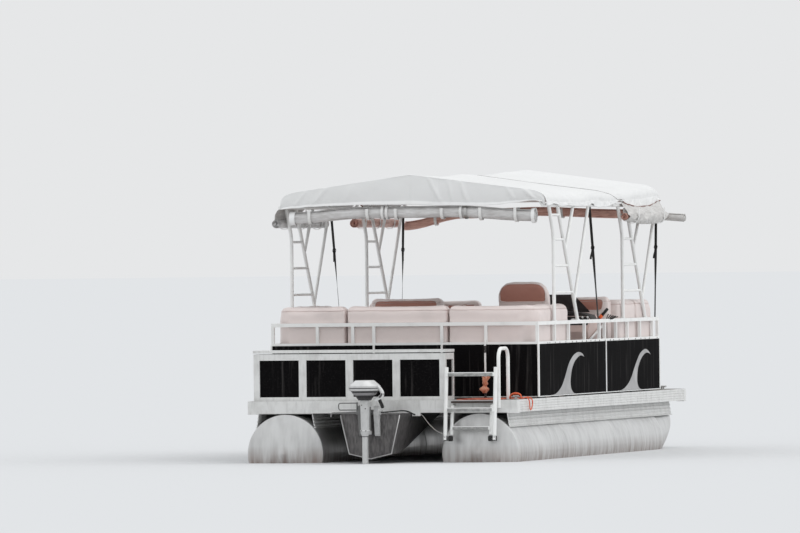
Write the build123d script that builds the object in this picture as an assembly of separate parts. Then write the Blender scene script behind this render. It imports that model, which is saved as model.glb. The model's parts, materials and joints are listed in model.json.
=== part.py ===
import os
from math import cos, pi, radians, sin, tan

from build123d import *

os.makedirs("parts", exist_ok=True)

# Driving dimensions, in millimetres.
# Every place is measured from the middle of the stern edge, at the top of the deck:
# X to starboard, Y towards the bow, Z up. PLACE then moves each piece to the boat's own
# origin, amidships at the waterline.
LENGTH = 6100
WIDTH = 2440
HALF = WIDTH / 2
FREEBOARD = 540
PLACE = Location((0, -LENGTH / 2, FREEBOARD))

EDGE_HEIGHT = 108
EDGE_WALL = 12
FLOOR_THICK = 30
CAP_LENGTH = 90

TUBE_R = 340
TUBE_X = HALF - TUBE_R
TUBE_Z = -460
TUBE_STRAIGHT = 5150
TUBE_SEAMS = [6, 1710, 3420, 5140]
CAP_DEPTH = 75
SKIRT_START = 15
SKIRT_END = 5820

FENCE_STERN = 754
FENCE_BOW = 5105
FENCE_X = 1216
RAIL = 32
RAIL_DEEP = 25
POST = 26
FENCE_FOOT = 12
LOW_RAIL_Z = 480
TOP_RAIL_Z = 656
SHEET = 3
MAST_Z = TOP_RAIL_Z + RAIL / 2

BOW_GATE = 670
PORT_GATE_START = 2360
PORT_GATE_END = 3030
GATE_GAP = 10

MAST_X = FENCE_X - RAIL / 2
MAST_PITCH = 2460
MAST_TUBE = 32
RUNG_TUBE = 22
BRACE_TUBE = 28
ROOF_TUBE = 28
BOW_TUBE = 25

HEM_Z = 1690
ROOF_RAIL_Z = HEM_Z + 2
# The canopy's ridge: (y, height above the deck)
STERN_RIDGE = [(985, 1970), (2150, 1956), (2740, 1982), (3440, 1969)]
BOW_RIDGE = [(3441, 1969), (5130, 2030), (5230, 1950)]
SHOULDER_X = 1130
SHOULDER_DROP = 148
CANOPY_X = 1226
CLOTH = 8

SEAT_BASE = 400
CUSHION_TOP = 500
BACK_TOP = 820
LOUNGE_BACK_TOP = 840
BACK_THICK = 165
BENCH_DEPTH = 560
SEAT_X = 1183

POD_STERN = -380
STEER_Y = -455
LEG_Y = -550
TILT_Y = -415
TILT_Z = -95
SHAFT_END = -720
PROP_Z = -860
PROP_R = 116

HINGE_Y = -135
HINGE_Z = -335


# Helpers

def save(node, *solids):
    """Write one node: one or more solids, moved to the boat's origin."""
    children = [solid.moved(PLACE) for solid in solids]
    body = children[0] if len(children) == 1 else Compound(children=children)
    export_step(body, f"parts/{node}.step")


def block(x0, x1, y0, y1, z0, z1, radius=0):
    """A box between two corners, with its edges rounded where a radius is given."""
    body = Pos((x0 + x1) / 2, (y0 + y1) / 2, (z0 + z1) / 2) * Box(x1 - x0, y1 - y0, z1 - z0)
    if radius:
        body = fillet(body.edges(), radius)
    return body


def rod(start, end, radius):
    """A straight round bar from one point to another."""
    start = Vector(*start)
    end = Vector(*end)
    run = end - start
    plane = Plane(origin=start, z_dir=run)
    return extrude(plane * Circle(radius), run.length)


def bent_rod(points, bend, radius):
    """A round bar that follows straight runs joined by bends of one radius."""
    path = FilletPolyline(*points, radius=bend)
    section = Plane(origin=path @ 0, z_dir=path % 0) * Circle(radius)
    return sweep(section, path=path)


def slab(plane_x, thick, outline):
    """A plate across X: outline in (Y, Z), its inner face at plane_x, thick towards +X."""
    face = Plane.YZ.offset(plane_x) * make_face(Polyline(*outline, close=True).edges())
    return extrude(face, thick)


def both_sides(body):
    """The piece and its mirror image on the other side of the boat."""
    return [body, mirror(body, about=Plane.YZ)]


# Hull: two round pontoons with raked noses, and the risers that carry the deck

def pontoon(side):
    """A welded tube with a coned stern cap, weld beads and a nose whose underside sweeps up."""
    bead = 5
    profile = [(0, -CAP_DEPTH), (12, -CAP_DEPTH + 2), (TUBE_R - 10, -4), (TUBE_R, 0)]
    for seam in TUBE_SEAMS:
        profile += [(TUBE_R, seam - bead), (TUBE_R + 3, seam), (TUBE_R, seam + bead)]
    profile.pop(4)
    profile += [(TUBE_R, TUBE_STRAIGHT), (0, TUBE_STRAIGHT)]
    half = make_face(Polyline(*profile, close=True).edges())
    tube = revolve(half, Axis.Y)
    # Nose sections: y, half width, half height; each keeps the tube's level top
    sections = [
        (TUBE_STRAIGHT, TUBE_R, TUBE_R),
        (5660, 285, 228),
        (5960, 200, 112),
        (6075, 105, 45),
    ]
    faces = []
    for y, wide, high in sections:
        plane = Plane(origin=(0, y, TUBE_R - high), x_dir=(1, 0, 0), z_dir=(0, 1, 0))
        faces.append(plane * Ellipse(wide, high))
    nose = loft(faces)
    return Pos(side * TUBE_X, 0, TUBE_Z) * (tube + nose)


save("pontoons", pontoon(-1), pontoon(1))


def riser():
    """A channel over one tube: a flat top and two ribbed skirts that end on the tube."""
    top = -EDGE_HEIGHT
    foot = -236
    spread = 240
    lean = 20
    wall = 5
    rib = 4
    outer = [(spread + wall, top)]
    for step in range(3):
        z = top - 34 - step * 30
        x = spread + wall + lean * (top - z) / (top - foot)
        outer += [(x, z), (x + rib, z - 5), (x + rib, z - 15), (x, z - 20)]
    edge = spread + lean
    outer += [(edge + wall, foot + 8), (edge + 14, foot + 4), (edge + 14, foot)]
    inner = [(edge, foot), (spread, top - wall)]
    half = outer + inner
    other = [(-x, z) for x, z in reversed(half)]
    outline = make_face(Polyline(*half, *other, close=True).edges())
    plane = Plane(origin=(0, SKIRT_START, 0), x_dir=(1, 0, 0), z_dir=(0, -1, 0))
    return extrude(plane * outline, -(SKIRT_END - SKIRT_START))


save("risers", *[Pos(side * TUBE_X, 0, 0) * riser() for side in (-1, 1)])


# Deck: floor, cross members, ribbed side edges, plain end edges and corner caps

def cross_members():
    """Channels across the boat, on the risers and under the floor."""
    count = 12
    first = 200
    pitch = 515
    low = -EDGE_HEIGHT
    high = -FLOOR_THICK
    wide = 70
    wall = 6
    reach = HALF - 70
    beams = []
    for index in range(count):
        y = first + index * pitch
        web = block(-reach, reach, y, y + wide, low, high)
        hollow = block(-reach, reach, y + wall, y + wide, low + wall, high - wall)
        beams.append(web - hollow)
    return beams


def side_edge():
    """The starboard edge extrusion: a web with four ribs and a lower lip."""
    inner = HALF - EDGE_WALL
    groove = 4
    points = [(inner, 0), (HALF, 0)]
    for index in range(4):
        z = -18 - index * 22
        points += [(HALF, z), (HALF - groove, z - 3), (HALF - groove, z - 7), (HALF, z - 10)]
    points += [(HALF, -EDGE_HEIGHT), (inner - 40, -EDGE_HEIGHT), (inner - 40, -EDGE_HEIGHT + 6)]
    points += [(inner, -EDGE_HEIGHT + 6)]
    outline = make_face(Polyline(*points, close=True).edges())
    plane = Plane(origin=(0, CAP_LENGTH, 0), x_dir=(1, 0, 0), z_dir=(0, -1, 0))
    return extrude(plane * outline, -(LENGTH - 2 * CAP_LENGTH))


# The small block under the stern plate that takes the motor's cable: x, y and z ranges
LINE_BRACKET = (276, 349, -14, EDGE_WALL, -EDGE_HEIGHT - 28, -EDGE_HEIGHT)


def end_edges():
    """The plain stern and bow plates, between the corner caps."""
    reach = HALF - CAP_LENGTH
    stern = block(-reach, reach, 0, EDGE_WALL, -EDGE_HEIGHT, 0)
    stern += block(*LINE_BRACKET)
    bow = block(-reach, reach, LENGTH - EDGE_WALL, LENGTH, -EDGE_HEIGHT, 0)
    return [stern, bow]


def corner_cap():
    """The starboard stern cap: an angle with a rounded outer corner."""
    body = block(HALF - CAP_LENGTH, HALF, 0, CAP_LENGTH, -EDGE_HEIGHT - 8, 0)
    corner = body.edges().filter_by(Axis.Z).sort_by(lambda edge: edge.center().Y - edge.center().X)
    body = fillet(corner[0], 10)
    inside = block(0, HALF - EDGE_WALL, EDGE_WALL, CAP_LENGTH, -EDGE_HEIGHT - 8, 0)
    return body - inside


floor = block(-HALF + EDGE_WALL, HALF - EDGE_WALL, EDGE_WALL, LENGTH - EDGE_WALL, -FLOOR_THICK, 0)
save("deck_floor", floor)
save("cross_members", *cross_members())
save("deck_edges", *both_sides(side_edge()), *end_edges())
stern_caps = both_sides(corner_cap())
bow_caps = [mirror(cap, about=Plane.XZ.offset(-LENGTH / 2)) for cap in stern_caps]
save("corner_caps", *stern_caps, *bow_caps)


# Fence: square tube frames with a low row of sheets and an open band above

def fence_frame(start, end, posts, short_posts, end_posts=(True, True)):
    """A flat frame in (along, Z): posts run full height, short posts only cross the band."""
    low = FENCE_FOOT
    high = TOP_RAIL_Z + RAIL / 2
    body = Pos((start + end) / 2, (low + high) / 2) * Rectangle(end - start, high - low)
    inner_start = start + (RAIL if end_posts[0] else 0)
    inner_end = end - (RAIL if end_posts[1] else 0)
    rows = [
        (low + RAIL - 4, LOW_RAIL_Z - RAIL / 2, posts),
        (LOW_RAIL_Z + RAIL / 2, TOP_RAIL_Z - RAIL / 2, sorted(posts + short_posts)),
    ]
    for row_low, row_high, marks in rows:
        lefts = [inner_start] + [mark + POST / 2 for mark in marks]
        rights = [mark - POST / 2 for mark in marks] + [inner_end]
        for left, right in zip(lefts, rights):
            middle = Pos((left + right) / 2, (row_low + row_high) / 2)
            body -= middle * Rectangle(right - left, row_high - row_low)
    return body


def along_side(side, sketch, thick, inset):
    """Stand a flat outline (Y, Z) on one side of the boat, its outer face inset from the fence."""
    outer = FENCE_X - inset
    plane = Plane.YZ.offset(side * outer)
    return extrude(plane * sketch, -side * thick)


def along_end(y, sketch, thick):
    """Stand a flat outline (X, Z) across the boat with its aft face at y."""
    plane = Plane(origin=(0, y, 0), x_dir=(1, 0, 0), z_dir=(0, -1, 0))
    return extrude(plane * sketch, -thick)


def sheets(start, end, posts):
    """One flat sheet for each bay of a frame, as outlines; they cover the frame's lowest rail."""
    outlines = []
    for left, right in zip([start] + posts, posts + [end]):
        middle = Pos((left + right) / 2, (SHEET_LOW + SHEET_HIGH) / 2)
        outlines.append(middle * Rectangle(right - left - 2 * SHEET_MARGIN, SHEET_HIGH - SHEET_LOW))
    return outlines


# Each run of fence: where it starts and ends, full posts, short posts
STARBOARD_RUN = (FENCE_STERN, FENCE_BOW, [3130], [1358, 1852, 2412, 2942, 3544, 3962, 4424, 4891])
PORT_STERN_RUN = (FENCE_STERN, PORT_GATE_START, [1560], [1160, 1960])
PORT_BOW_RUN = (PORT_GATE_END, FENCE_BOW, [4050], [3400, 3730, 4400, 4740])
FENCE_IN_X = FENCE_X - RAIL_DEEP
STERN_RUN = (-FENCE_IN_X, FENCE_IN_X, [-279, 340], [-795, -471, 740])
GATE_HALF = BOW_GATE / 2 + GATE_GAP
BOW_RUN = (GATE_HALF, FENCE_IN_X, [], [620, 900])
# The sheets lie on the frames' outer faces and stop short of the mouldings over their joints
MOULDING_R = 10
SHEET_MARGIN = MOULDING_R + 1
SHEET_LOW = FENCE_FOOT + 8
SHEET_HIGH = LOW_RAIL_Z - RAIL / 2 + 10


def moulding(x, y):
    """A round strip over a joint between two sheets."""
    return rod((x, y, FENCE_FOOT), (x, y, SHEET_HIGH + 4), MOULDING_R)


starboard_frame = along_side(1, fence_frame(*STARBOARD_RUN), RAIL_DEEP, 0)
port_frames = [along_side(-1, fence_frame(*run), RAIL_DEEP, 0) for run in (PORT_STERN_RUN, PORT_BOW_RUN)]
for y in (FENCE_STERN, STARBOARD_RUN[2][0], FENCE_BOW):
    starboard_frame += moulding(FENCE_X, y)
for index, marks in enumerate(((FENCE_STERN, PORT_STERN_RUN[2][0]), (PORT_BOW_RUN[2][0], FENCE_BOW))):
    for y in marks:
        port_frames[index] += moulding(-FENCE_X, y)
stern_frame = along_end(FENCE_STERN, fence_frame(*STERN_RUN, (False, False)), RAIL_DEEP)
for x in STERN_RUN[2]:
    stern_frame += moulding(x, FENCE_STERN)
# A thin rod stands before the stern sheets and is clipped to the low rail
rod_x = 737
rod_y = FENCE_STERN - 15
stern_frame += rod((rod_x, rod_y, 0), (rod_x, rod_y, 520), 9)
stern_frame += block(rod_x - 7, rod_x + 7, rod_y, FENCE_STERN + 2, SHEET_HIGH + 4, SHEET_HIGH + 18)
bow_frame = along_end(FENCE_BOW - RAIL_DEEP, fence_frame(*BOW_RUN, (True, False)), RAIL_DEEP)
side_sheets = []
for outline in sheets(*STARBOARD_RUN[:3]):
    side_sheets.append(along_side(1, outline, SHEET, -SHEET))
for run in (PORT_STERN_RUN, PORT_BOW_RUN):
    for outline in sheets(*run[:3]):
        side_sheets.append(along_side(-1, outline, SHEET, -SHEET))
stern_sheets = sheets(-FENCE_X, FENCE_X, STERN_RUN[2])
end_sheets = [along_end(FENCE_STERN - SHEET, outline, SHEET) for outline in stern_sheets]
for outline in sheets(GATE_HALF, FENCE_X, []):
    end_sheets += both_sides(along_end(FENCE_BOW, outline, SHEET))
save("fence_sheets", *side_sheets, *end_sheets)


def fence_feet():
    """Long low pads between the deck and the lowest rail, with open gaps between them."""
    pitch = 470
    pads = []
    wide = 200
    y = FENCE_STERN + 40
    while y < FENCE_BOW - wide:
        for side in (-1, 1):
            in_gate = side < 0 and PORT_GATE_START - wide < y < PORT_GATE_END
            if not in_gate:
                outer = side * (FENCE_X - 2)
                inner = side * (FENCE_IN_X + 2)
                pads.append(block(min(outer, inner), max(outer, inner), y, y + wide, 0, FENCE_FOOT))
        y += pitch
    ends = [(FENCE_STERN, x) for x in (-1000, -500, 0, 500, 1000)]
    ends += [(FENCE_BOW - RAIL_DEEP, x) for x in (-1000, -560, 560, 1000)]
    for y, x in ends:
        pads.append(block(x - wide / 2, x + wide / 2, y + 2, y + RAIL_DEEP - 2, 0, FENCE_FOOT))
    return pads


save("fence_feet", *fence_feet())


# Gates: one in the bow fence and one on the port side, each hung on two pins

PIN_R = 4
PIN_PLAY = 0.05
KNUCKLE_R = 8
KNUCKLE = 36
GATE_THICK = 24
GATE_INSET = (RAIL_DEEP - GATE_THICK) / 2
PIN_OUT = 9
KNUCKLES = [140, 560]

bow_pin = (-BOW_GATE / 2 - GATE_GAP / 2, FENCE_BOW - RAIL_DEEP - PIN_OUT)
port_pin = (-FENCE_IN_X + PIN_OUT, PORT_GATE_START + GATE_GAP / 2)


def pin_seats(pin, toward):
    """The fixed half of a gate hinge: a pin with a lug above and below each knuckle."""
    x, y = pin
    step_x, step_y = toward
    seats = None
    for z in KNUCKLES:
        pin_body = rod((x, y, z - KNUCKLE), (x, y, z + KNUCKLE), PIN_R)
        for low in (z - KNUCKLE, z + KNUCKLE / 2 + 1):
            eye = rod((x, y, low), (x, y, low + KNUCKLE / 2 - 1), KNUCKLE_R)
            corners = sorted([x, x + step_x]), sorted([y, y + step_y])
            arm = block(*corners[0], *corners[1], low, low + KNUCKLE / 2 - 1)
            pin_body = pin_body + eye + arm
        seats = pin_body if seats is None else seats + pin_body
    return seats


def gate(length):
    """A gate's frame as a flat outline that starts at zero."""
    return fence_frame(0, length, [], [length / 3, 2 * length / 3])


gate_length = BOW_GATE
gate_frame = gate(gate_length)
gate_sheet = sheets(0, gate_length, [])[0]

bow_shift = Pos(-gate_length / 2, 0, 0)
bow_body = bow_shift * along_end(FENCE_BOW - RAIL_DEEP + GATE_INSET, gate_frame, GATE_THICK)
bow_leaf = bow_shift * along_end(FENCE_BOW - GATE_INSET, gate_sheet, SHEET)
port_shift = Pos(0, PORT_GATE_START + GATE_GAP, 0)
port_length = PORT_GATE_END - PORT_GATE_START - 2 * GATE_GAP
port_body = port_shift * along_side(-1, gate(port_length), GATE_THICK, GATE_INSET)
port_leaf = port_shift * along_side(-1, sheets(0, port_length, [])[0], SHEET, GATE_INSET - SHEET)


def knuckles(pin, toward):
    """The moving half of a gate hinge: a short eye round each pin, with its arm."""
    x, y = pin
    step_x, step_y = toward
    body = None
    for z in KNUCKLES:
        low = z - KNUCKLE / 2 + 1
        high = z + KNUCKLE / 2 - 1
        eye = rod((x, y, low), (x, y, high), KNUCKLE_R)
        corners = sorted([x, x + step_x]), sorted([y, y + step_y])
        arm = block(*corners[0], *corners[1], low, high)
        hole = rod((x, y, low - 1), (x, y, high + 1), PIN_R + PIN_PLAY)
        piece = eye + arm - hole
        body = piece if body is None else body + piece
    return body


bow_arm = (12, PIN_OUT + GATE_INSET)
port_arm = (-(PIN_OUT + GATE_INSET), 12)
save("bow_gate_frame", bow_body + knuckles(bow_pin, bow_arm))
save("bow_gate_sheet", bow_leaf)
save("port_gate_frame", port_body + knuckles(port_pin, port_arm))
save("port_gate_sheet", port_leaf)
port_frames[0] += pin_seats(port_pin, (-PIN_OUT, -12))
starboard_bow, port_bow = both_sides(bow_frame)
port_bow += pin_seats(bow_pin, (-12, PIN_OUT))
save("side_fences", starboard_frame, *port_frames)
save("end_fences", stern_frame, starboard_bow, port_bow)


# Stern locker: a low framed box across the stern with dark sheets and a lid

LOCKER_X0 = -1167
LOCKER_X1 = 570
LOCKER_Y0 = 22
LOCKER_Y1 = 312
LOCKER_TOP = 410
LID_THICK = 24
LID_GAP = 8
LID_HINGE_R = 7
LOCKER_BAR = 40
LOCKER_FOOT = 34
BAYS = 4


def locker_frame():
    """Four framed faces joined at the corners, open at the top under the lid."""
    box = block(LOCKER_X0, LOCKER_X1, LOCKER_Y0, LOCKER_Y1, 0, LOCKER_TOP)
    wall = 30
    box -= block(LOCKER_X0 + wall, LOCKER_X1 - wall, LOCKER_Y0 + wall, LOCKER_Y1 - wall, 0, LOCKER_TOP)
    for left, right in locker_bays():
        box -= block(left, right, LOCKER_Y0, LOCKER_Y1, LOCKER_FOOT, LOCKER_TOP - 55)
    low = LOCKER_Y0 + LOCKER_BAR
    high = LOCKER_Y1 - LOCKER_BAR
    box -= block(LOCKER_X0, LOCKER_X1, low, high, LOCKER_FOOT, LOCKER_TOP - 55)
    return box


def locker_bays():
    """Equal bays along the locker, as (left, right) pairs."""
    pitch = (LOCKER_X1 - LOCKER_X0 - LOCKER_BAR) / BAYS
    starts = [LOCKER_X0 + index * pitch for index in range(BAYS)]
    return [(start + 54, start + pitch - 14) for start in starts]


def locker_sheets():
    """Dark sheets set into every face of the locker."""
    inset = 12
    low = LOCKER_FOOT
    high = LOCKER_TOP - 55
    leaves = []
    for left, right in locker_bays():
        leaves.append(block(left, right, LOCKER_Y0 + inset, LOCKER_Y0 + inset + SHEET, low, high))
        leaves.append(block(left, right, LOCKER_Y1 - inset - SHEET, LOCKER_Y1 - inset, low, high))
    y0 = LOCKER_Y0 + LOCKER_BAR
    y1 = LOCKER_Y1 - LOCKER_BAR
    leaves.append(block(LOCKER_X0 + inset, LOCKER_X0 + inset + SHEET, y0, y1, low, high))
    leaves.append(block(LOCKER_X1 - inset - SHEET, LOCKER_X1 - inset, y0, y1, low, high))
    return leaves


LID_LOW = LOCKER_TOP + LID_GAP
LID_PIN = (LOCKER_Y1 + LID_HINGE_R + 1, LOCKER_TOP + LID_GAP / 2)
lid = block(LOCKER_X0 - 4, LOCKER_X1 + 4, LOCKER_Y0 - 6, LOCKER_Y1, LID_LOW, LID_LOW + LID_THICK)
frame = locker_frame()
# Hinges behind the lid: a long barrel on the lid between two short ones on the frame
for x in (-900, -290, 320):
    y, z = LID_PIN
    arm = y - LOCKER_Y1
    barrel = rod((x - 40, y, z), (x + 40, y, z), LID_HINGE_R)
    barrel += block(x - 40, x + 40, y - arm, y, z, LID_LOW + 6)
    barrel -= rod((x - 41, y, z), (x + 41, y, z), 3 + PIN_PLAY)
    lid += barrel
    for end in (-60, 42):
        low = block(x + end, x + end + 18, y - arm, y, z - 18, z)
        frame += low + rod((x + end, y, z), (x + end + 18, y, z), LID_HINGE_R)
    frame += rod((x - 60, y, z), (x + 60, y, z), 3)
save("locker_frame", frame)
save("locker_sheets", *locker_sheets())
save("locker_lid", lid)


# Canopy masts: leaning ladder frames on the top rails, the bow pair like the stern pair

def mast(shift):
    """One starboard mast: two legs, four rungs and two braces, on pads and coped to the roof rail."""
    leg = MAST_TUBE / 2
    aft_foot = 1375 + shift
    aft_top = 1220 + shift
    bow_foot = 2190 + shift
    bow_top = 1520 + shift
    knee_z = 1430
    head_z = ROOF_RAIL_Z
    aft_leg = [(MAST_X, aft_foot, MAST_Z), (MAST_X, aft_foot, knee_z), (MAST_X, aft_top, head_z)]
    body = bent_rod(aft_leg, 200, leg)
    body += rod((MAST_X, bow_foot, MAST_Z), (MAST_X, bow_top, head_z), leg)
    rise = head_z - MAST_Z
    # Rungs by height; each runs from the aft leg to the leaning leg
    for z in (921, 1157, 1389, 1606):
        bow_y = bow_foot + (bow_top - bow_foot) * (z - MAST_Z) / rise
        bent = max(0, z - knee_z) / (head_z - knee_z)
        aft_y = aft_foot + (aft_top - aft_foot) * bent
        body += rod((MAST_X, aft_y, z), (MAST_X, bow_y, z), RUNG_TUBE / 2)
    # Braces: start y, start z, end y
    for y0, z0, y1 in ((2085, 840, 2614), (1785, 1294, 2077)):
        body += rod((MAST_X, y0 + shift, z0), (MAST_X, y1 + shift, head_z), BRACE_TUBE / 2)
    pad = 34
    for y in (aft_foot, bow_foot):
        body += block(MAST_X - leg, MAST_X + leg, y - pad, y + pad, MAST_Z, MAST_Z + 6)
    reach = 60
    sides = (MAST_X - reach, MAST_X + reach)
    body -= block(*sides, aft_foot, bow_foot + 2 * reach, MAST_Z - reach, MAST_Z)
    under_bows = head_z - BOW_TUBE / 2
    body -= block(*sides, aft_top - reach, bow_foot + 900, under_bows, head_z + reach)
    return body - rod((MAST_X, aft_top - 400, head_z), (MAST_X, bow_foot + 900, head_z), ROOF_TUBE / 2)


save("stern_masts", *both_sides(mast(0)))
save("bow_masts", *both_sides(mast(MAST_PITCH)))


def height_along(line, y):
    """The height of a (y, height) line at y."""
    for (y0, z0), (y1, z1) in zip(line, line[1:]):
        if y0 <= y <= y1:
            return z0 + (z1 - z0) * (y - y0) / (y1 - y0)
    return line[0][1] if y < line[0][0] else line[-1][1]


def roof_frame(start, end, bows, ridge):
    """Two side rails and the arched bows between them, under the cloth."""
    body = rod((MAST_X, start, ROOF_RAIL_Z), (MAST_X, end, ROOF_RAIL_Z), ROOF_TUBE / 2)
    body += mirror(body, about=Plane.YZ)
    for y in bows:
        top = height_along(ridge, y) - 26
        shoulder = top - SHOULDER_DROP + 6
        points = [
            (-MAST_X, y, ROOF_RAIL_Z),
            (-SHOULDER_X + 8, y, shoulder),
            (0, y, top),
            (SHOULDER_X - 8, y, shoulder),
            (MAST_X, y, ROOF_RAIL_Z),
        ]
        body += bent_rod(points, 70, BOW_TUBE / 2)
    return body


STERN_BOWS = [1014, 1520, 2077, 2614]
BOW_BOWS = [3480, 3980, 4537, 5100]
stern_roof = roof_frame(1000, 3420, STERN_BOWS, STERN_RIDGE)
bow_roof = roof_frame(3460, 5205, BOW_BOWS, BOW_RIDGE)
save("roof_frames", stern_roof, bow_roof)


# Canopies: two cloth tops that meet at a seam, each with its end panel

def canopy_section(y, ridge, grow):
    """The roof's cross-section at y: straight slopes, round shoulders, open-ended sides."""
    drop = ridge - SHOULDER_DROP - grow
    side = CANOPY_X - grow
    shoulder = SHOULDER_X - grow / 2
    outline = Line((0, ridge - grow), (shoulder, drop)) + Line((side, drop - 70), (side, HEM_Z - 14))
    outline += TangentArc((shoulder, drop), (side, drop - 70), tangent=(shoulder, drop - ridge + grow))
    outline += Line((side, HEM_Z - 14), (0, HEM_Z - 14))
    face = make_face(outline + Line((0, HEM_Z - 14), (0, ridge - grow)))
    face += mirror(face, about=Plane.YZ)
    plane = Plane(origin=(0, y, 0), x_dir=(1, 0, 0), z_dir=(0, -1, 0))
    return plane * face


def canopy(sections, end_wall):
    """A cloth shell through (y, ridge) sections; the wall closes one end."""
    outer = loft([canopy_section(y, ridge, 0) for y, ridge in sections], ruled=True)
    inner_sections = list(sections)
    first_y, first_ridge = sections[0]
    last_y, last_ridge = sections[-1]
    inner_sections[0] = (first_y + end_wall[0], first_ridge)
    inner_sections[-1] = (last_y - end_wall[1], last_ridge)
    inner = loft([canopy_section(y, ridge, CLOTH) for y, ridge in inner_sections], ruled=True)
    return outer - inner


stern_top = canopy(STERN_RIDGE, (CLOTH, -1))
save("bow_canopy", canopy(BOW_RIDGE, (-1, CLOTH)))


# Rolled curtains under the hem, and the straps that hold them

STRAP = 26
STRAP_THICK = 3
STRAP_GAP = 1
CURTAIN_BEND = 1500
SIDE_ROLL_IN = 1217
# Each roll's line: x, height above the deck
STERN_ROLL = [(-1100, 1598), (-420, 1640), (380, 1642), (1135, 1600)]
STERN_ROLL_Y = 1030
STERN_ROLL_R = 58
BOW_ROLL = [(-1215, 1526), (-640, 1632), (60, 1648), (860, 1618), (1240, 1602)]
BOW_ROLL_Y = 5168
BOW_ROLL_R = 47
POLE_R = 36
# Side rolls: side, start y, end y, height, radius
SIDE_ROLLS = [(-1, 1110, 2690, 1552, 46), (-1, 3650, 5100, 1556, 46), (1, 3810, 5100, 1590, 57)]


def cross_roll(line, y, radius):
    """A rolled curtain across the boat that follows the arch of the hem."""
    points = [(x, y, z) for x, z in line]
    return bent_rod(points, CURTAIN_BEND, radius)


bow_roll = cross_roll(BOW_ROLL, BOW_ROLL_Y, BOW_ROLL_R)
end_x, end_z = BOW_ROLL[-1]
pole = rod((end_x, BOW_ROLL_Y, end_z), (end_x + 215, BOW_ROLL_Y, end_z - 8), POLE_R)
tucked = cross_roll(STERN_ROLL, STERN_ROLL_Y, STERN_ROLL_R + STRAP_GAP)
save("stern_canopy", stern_top - tucked)
save("stern_curtain", cross_roll(STERN_ROLL, STERN_ROLL_Y, STERN_ROLL_R))
save("bow_curtain", bow_roll + pole)
side_rolls = []
for side, start, end, z, radius in SIDE_ROLLS:
    x = side * (SIDE_ROLL_IN + radius)
    side_rolls.append(rod((x, start, z), (x, end, z), radius))
save("side_curtains", *side_rolls)


def hung_strap(radius, drop):
    """A strap outline: round the bottom of a roll at the origin, and up both sides by drop."""
    outer = radius + STRAP_GAP + STRAP_THICK
    inner = radius + STRAP_GAP
    loop = Circle(outer) + Pos(0, drop / 2) * Rectangle(2 * outer, drop)
    loop -= Circle(inner) + Pos(0, drop / 2) * Rectangle(2 * inner, drop)
    return loop - Pos(0, drop + outer) * Rectangle(4 * outer, 2 * outer)


def strap_across(x, line, y, radius):
    """A strap on a roll that lies across the boat."""
    z = height_along(line, x)
    plane = Plane(origin=(x - STRAP / 2, y, z), x_dir=(0, 1, 0), z_dir=(1, 0, 0))
    return extrude(plane * hung_strap(radius + 3, HEM_Z - 16 - z), STRAP)


def strap_along(side, y, z, radius):
    """A strap on a roll that lies along one side."""
    x = side * (SIDE_ROLL_IN + radius)
    plane = Plane(origin=(x, y + STRAP / 2, z), x_dir=(1, 0, 0), z_dir=(0, -1, 0))
    return extrude(plane * hung_strap(radius + 2, HEM_Z - 16 - z), STRAP)


STERN_STRAPS = [-920, -390, -130, 290, 640, 960]
BOW_STRAPS = [-900, -300, 300, 900]
SIDE_STRAPS = [(1373, 1900, 2427), (3892, 4375, 4858), (3930, 4400, 4885)]
straps = [strap_across(x, STERN_ROLL, STERN_ROLL_Y, STERN_ROLL_R) for x in STERN_STRAPS]
straps += [strap_across(x, BOW_ROLL, BOW_ROLL_Y, BOW_ROLL_R) for x in BOW_STRAPS]
for roll, places in zip(SIDE_ROLLS, SIDE_STRAPS):
    for y in places:
        straps.append(strap_along(roll[0], y, roll[3], roll[4]))
save("curtain_straps", *straps)


def stay(y0, z0, y1):
    """A flat black stay from the roof rail down to the top fence rail, starboard side."""
    z1 = MAST_Z
    run = Vector(0, y1 - y0, z1 - z0)
    plane = Plane(origin=(MAST_X, y0, z0), x_dir=(1, 0, 0), z_dir=run)
    band = extrude(plane * Rectangle(3, 26), run.length)
    return band - block(MAST_X - 20, MAST_X + 20, y1 - 60, y1 + 60, z1 - 40, z1)


STAY_HEAD = ROOF_RAIL_Z - ROOF_TUBE / 2
stays = both_sides(stay(2660, STAY_HEAD, 2935)) + both_sides(stay(5105, STAY_HEAD, 5020))
rail_clear = rod((MAST_X, 900, ROOF_RAIL_Z), (MAST_X, 5300, ROOF_RAIL_Z), ROOF_TUBE / 2)
rails_clear = both_sides(rail_clear)
save("black_stays", *[piece - rails_clear[0] - rails_clear[1] for piece in stays])


# Seats: boxes, cushions and backs round the stern and at both sides of the bow

def seat_boxes(outlines, low, high, radius=0):
    """Blocks over (x0, x1, y0, y1) outlines between two heights."""
    return [block(x0, x1, y0, y1, low, high, radius) for x0, x1, y0, y1 in outlines]


FENCE_IN = FENCE_STERN + RAIL_DEEP + 2
BENCH_FRONT = FENCE_IN + BENCH_DEPTH
BACK_FRONT = FENCE_IN + BACK_THICK
SIDE_IN = SEAT_X - BACK_THICK
PORT_LEG_END = 2200
STARBOARD_LEG_END = 1960
PLINTH_IN = SEAT_X - BENCH_DEPTH
CORNER_END = 1338
CORNER_R = 130
SEAM = 6
PORT_SEAM = -538
STARBOARD_SEAM = 386

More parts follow.
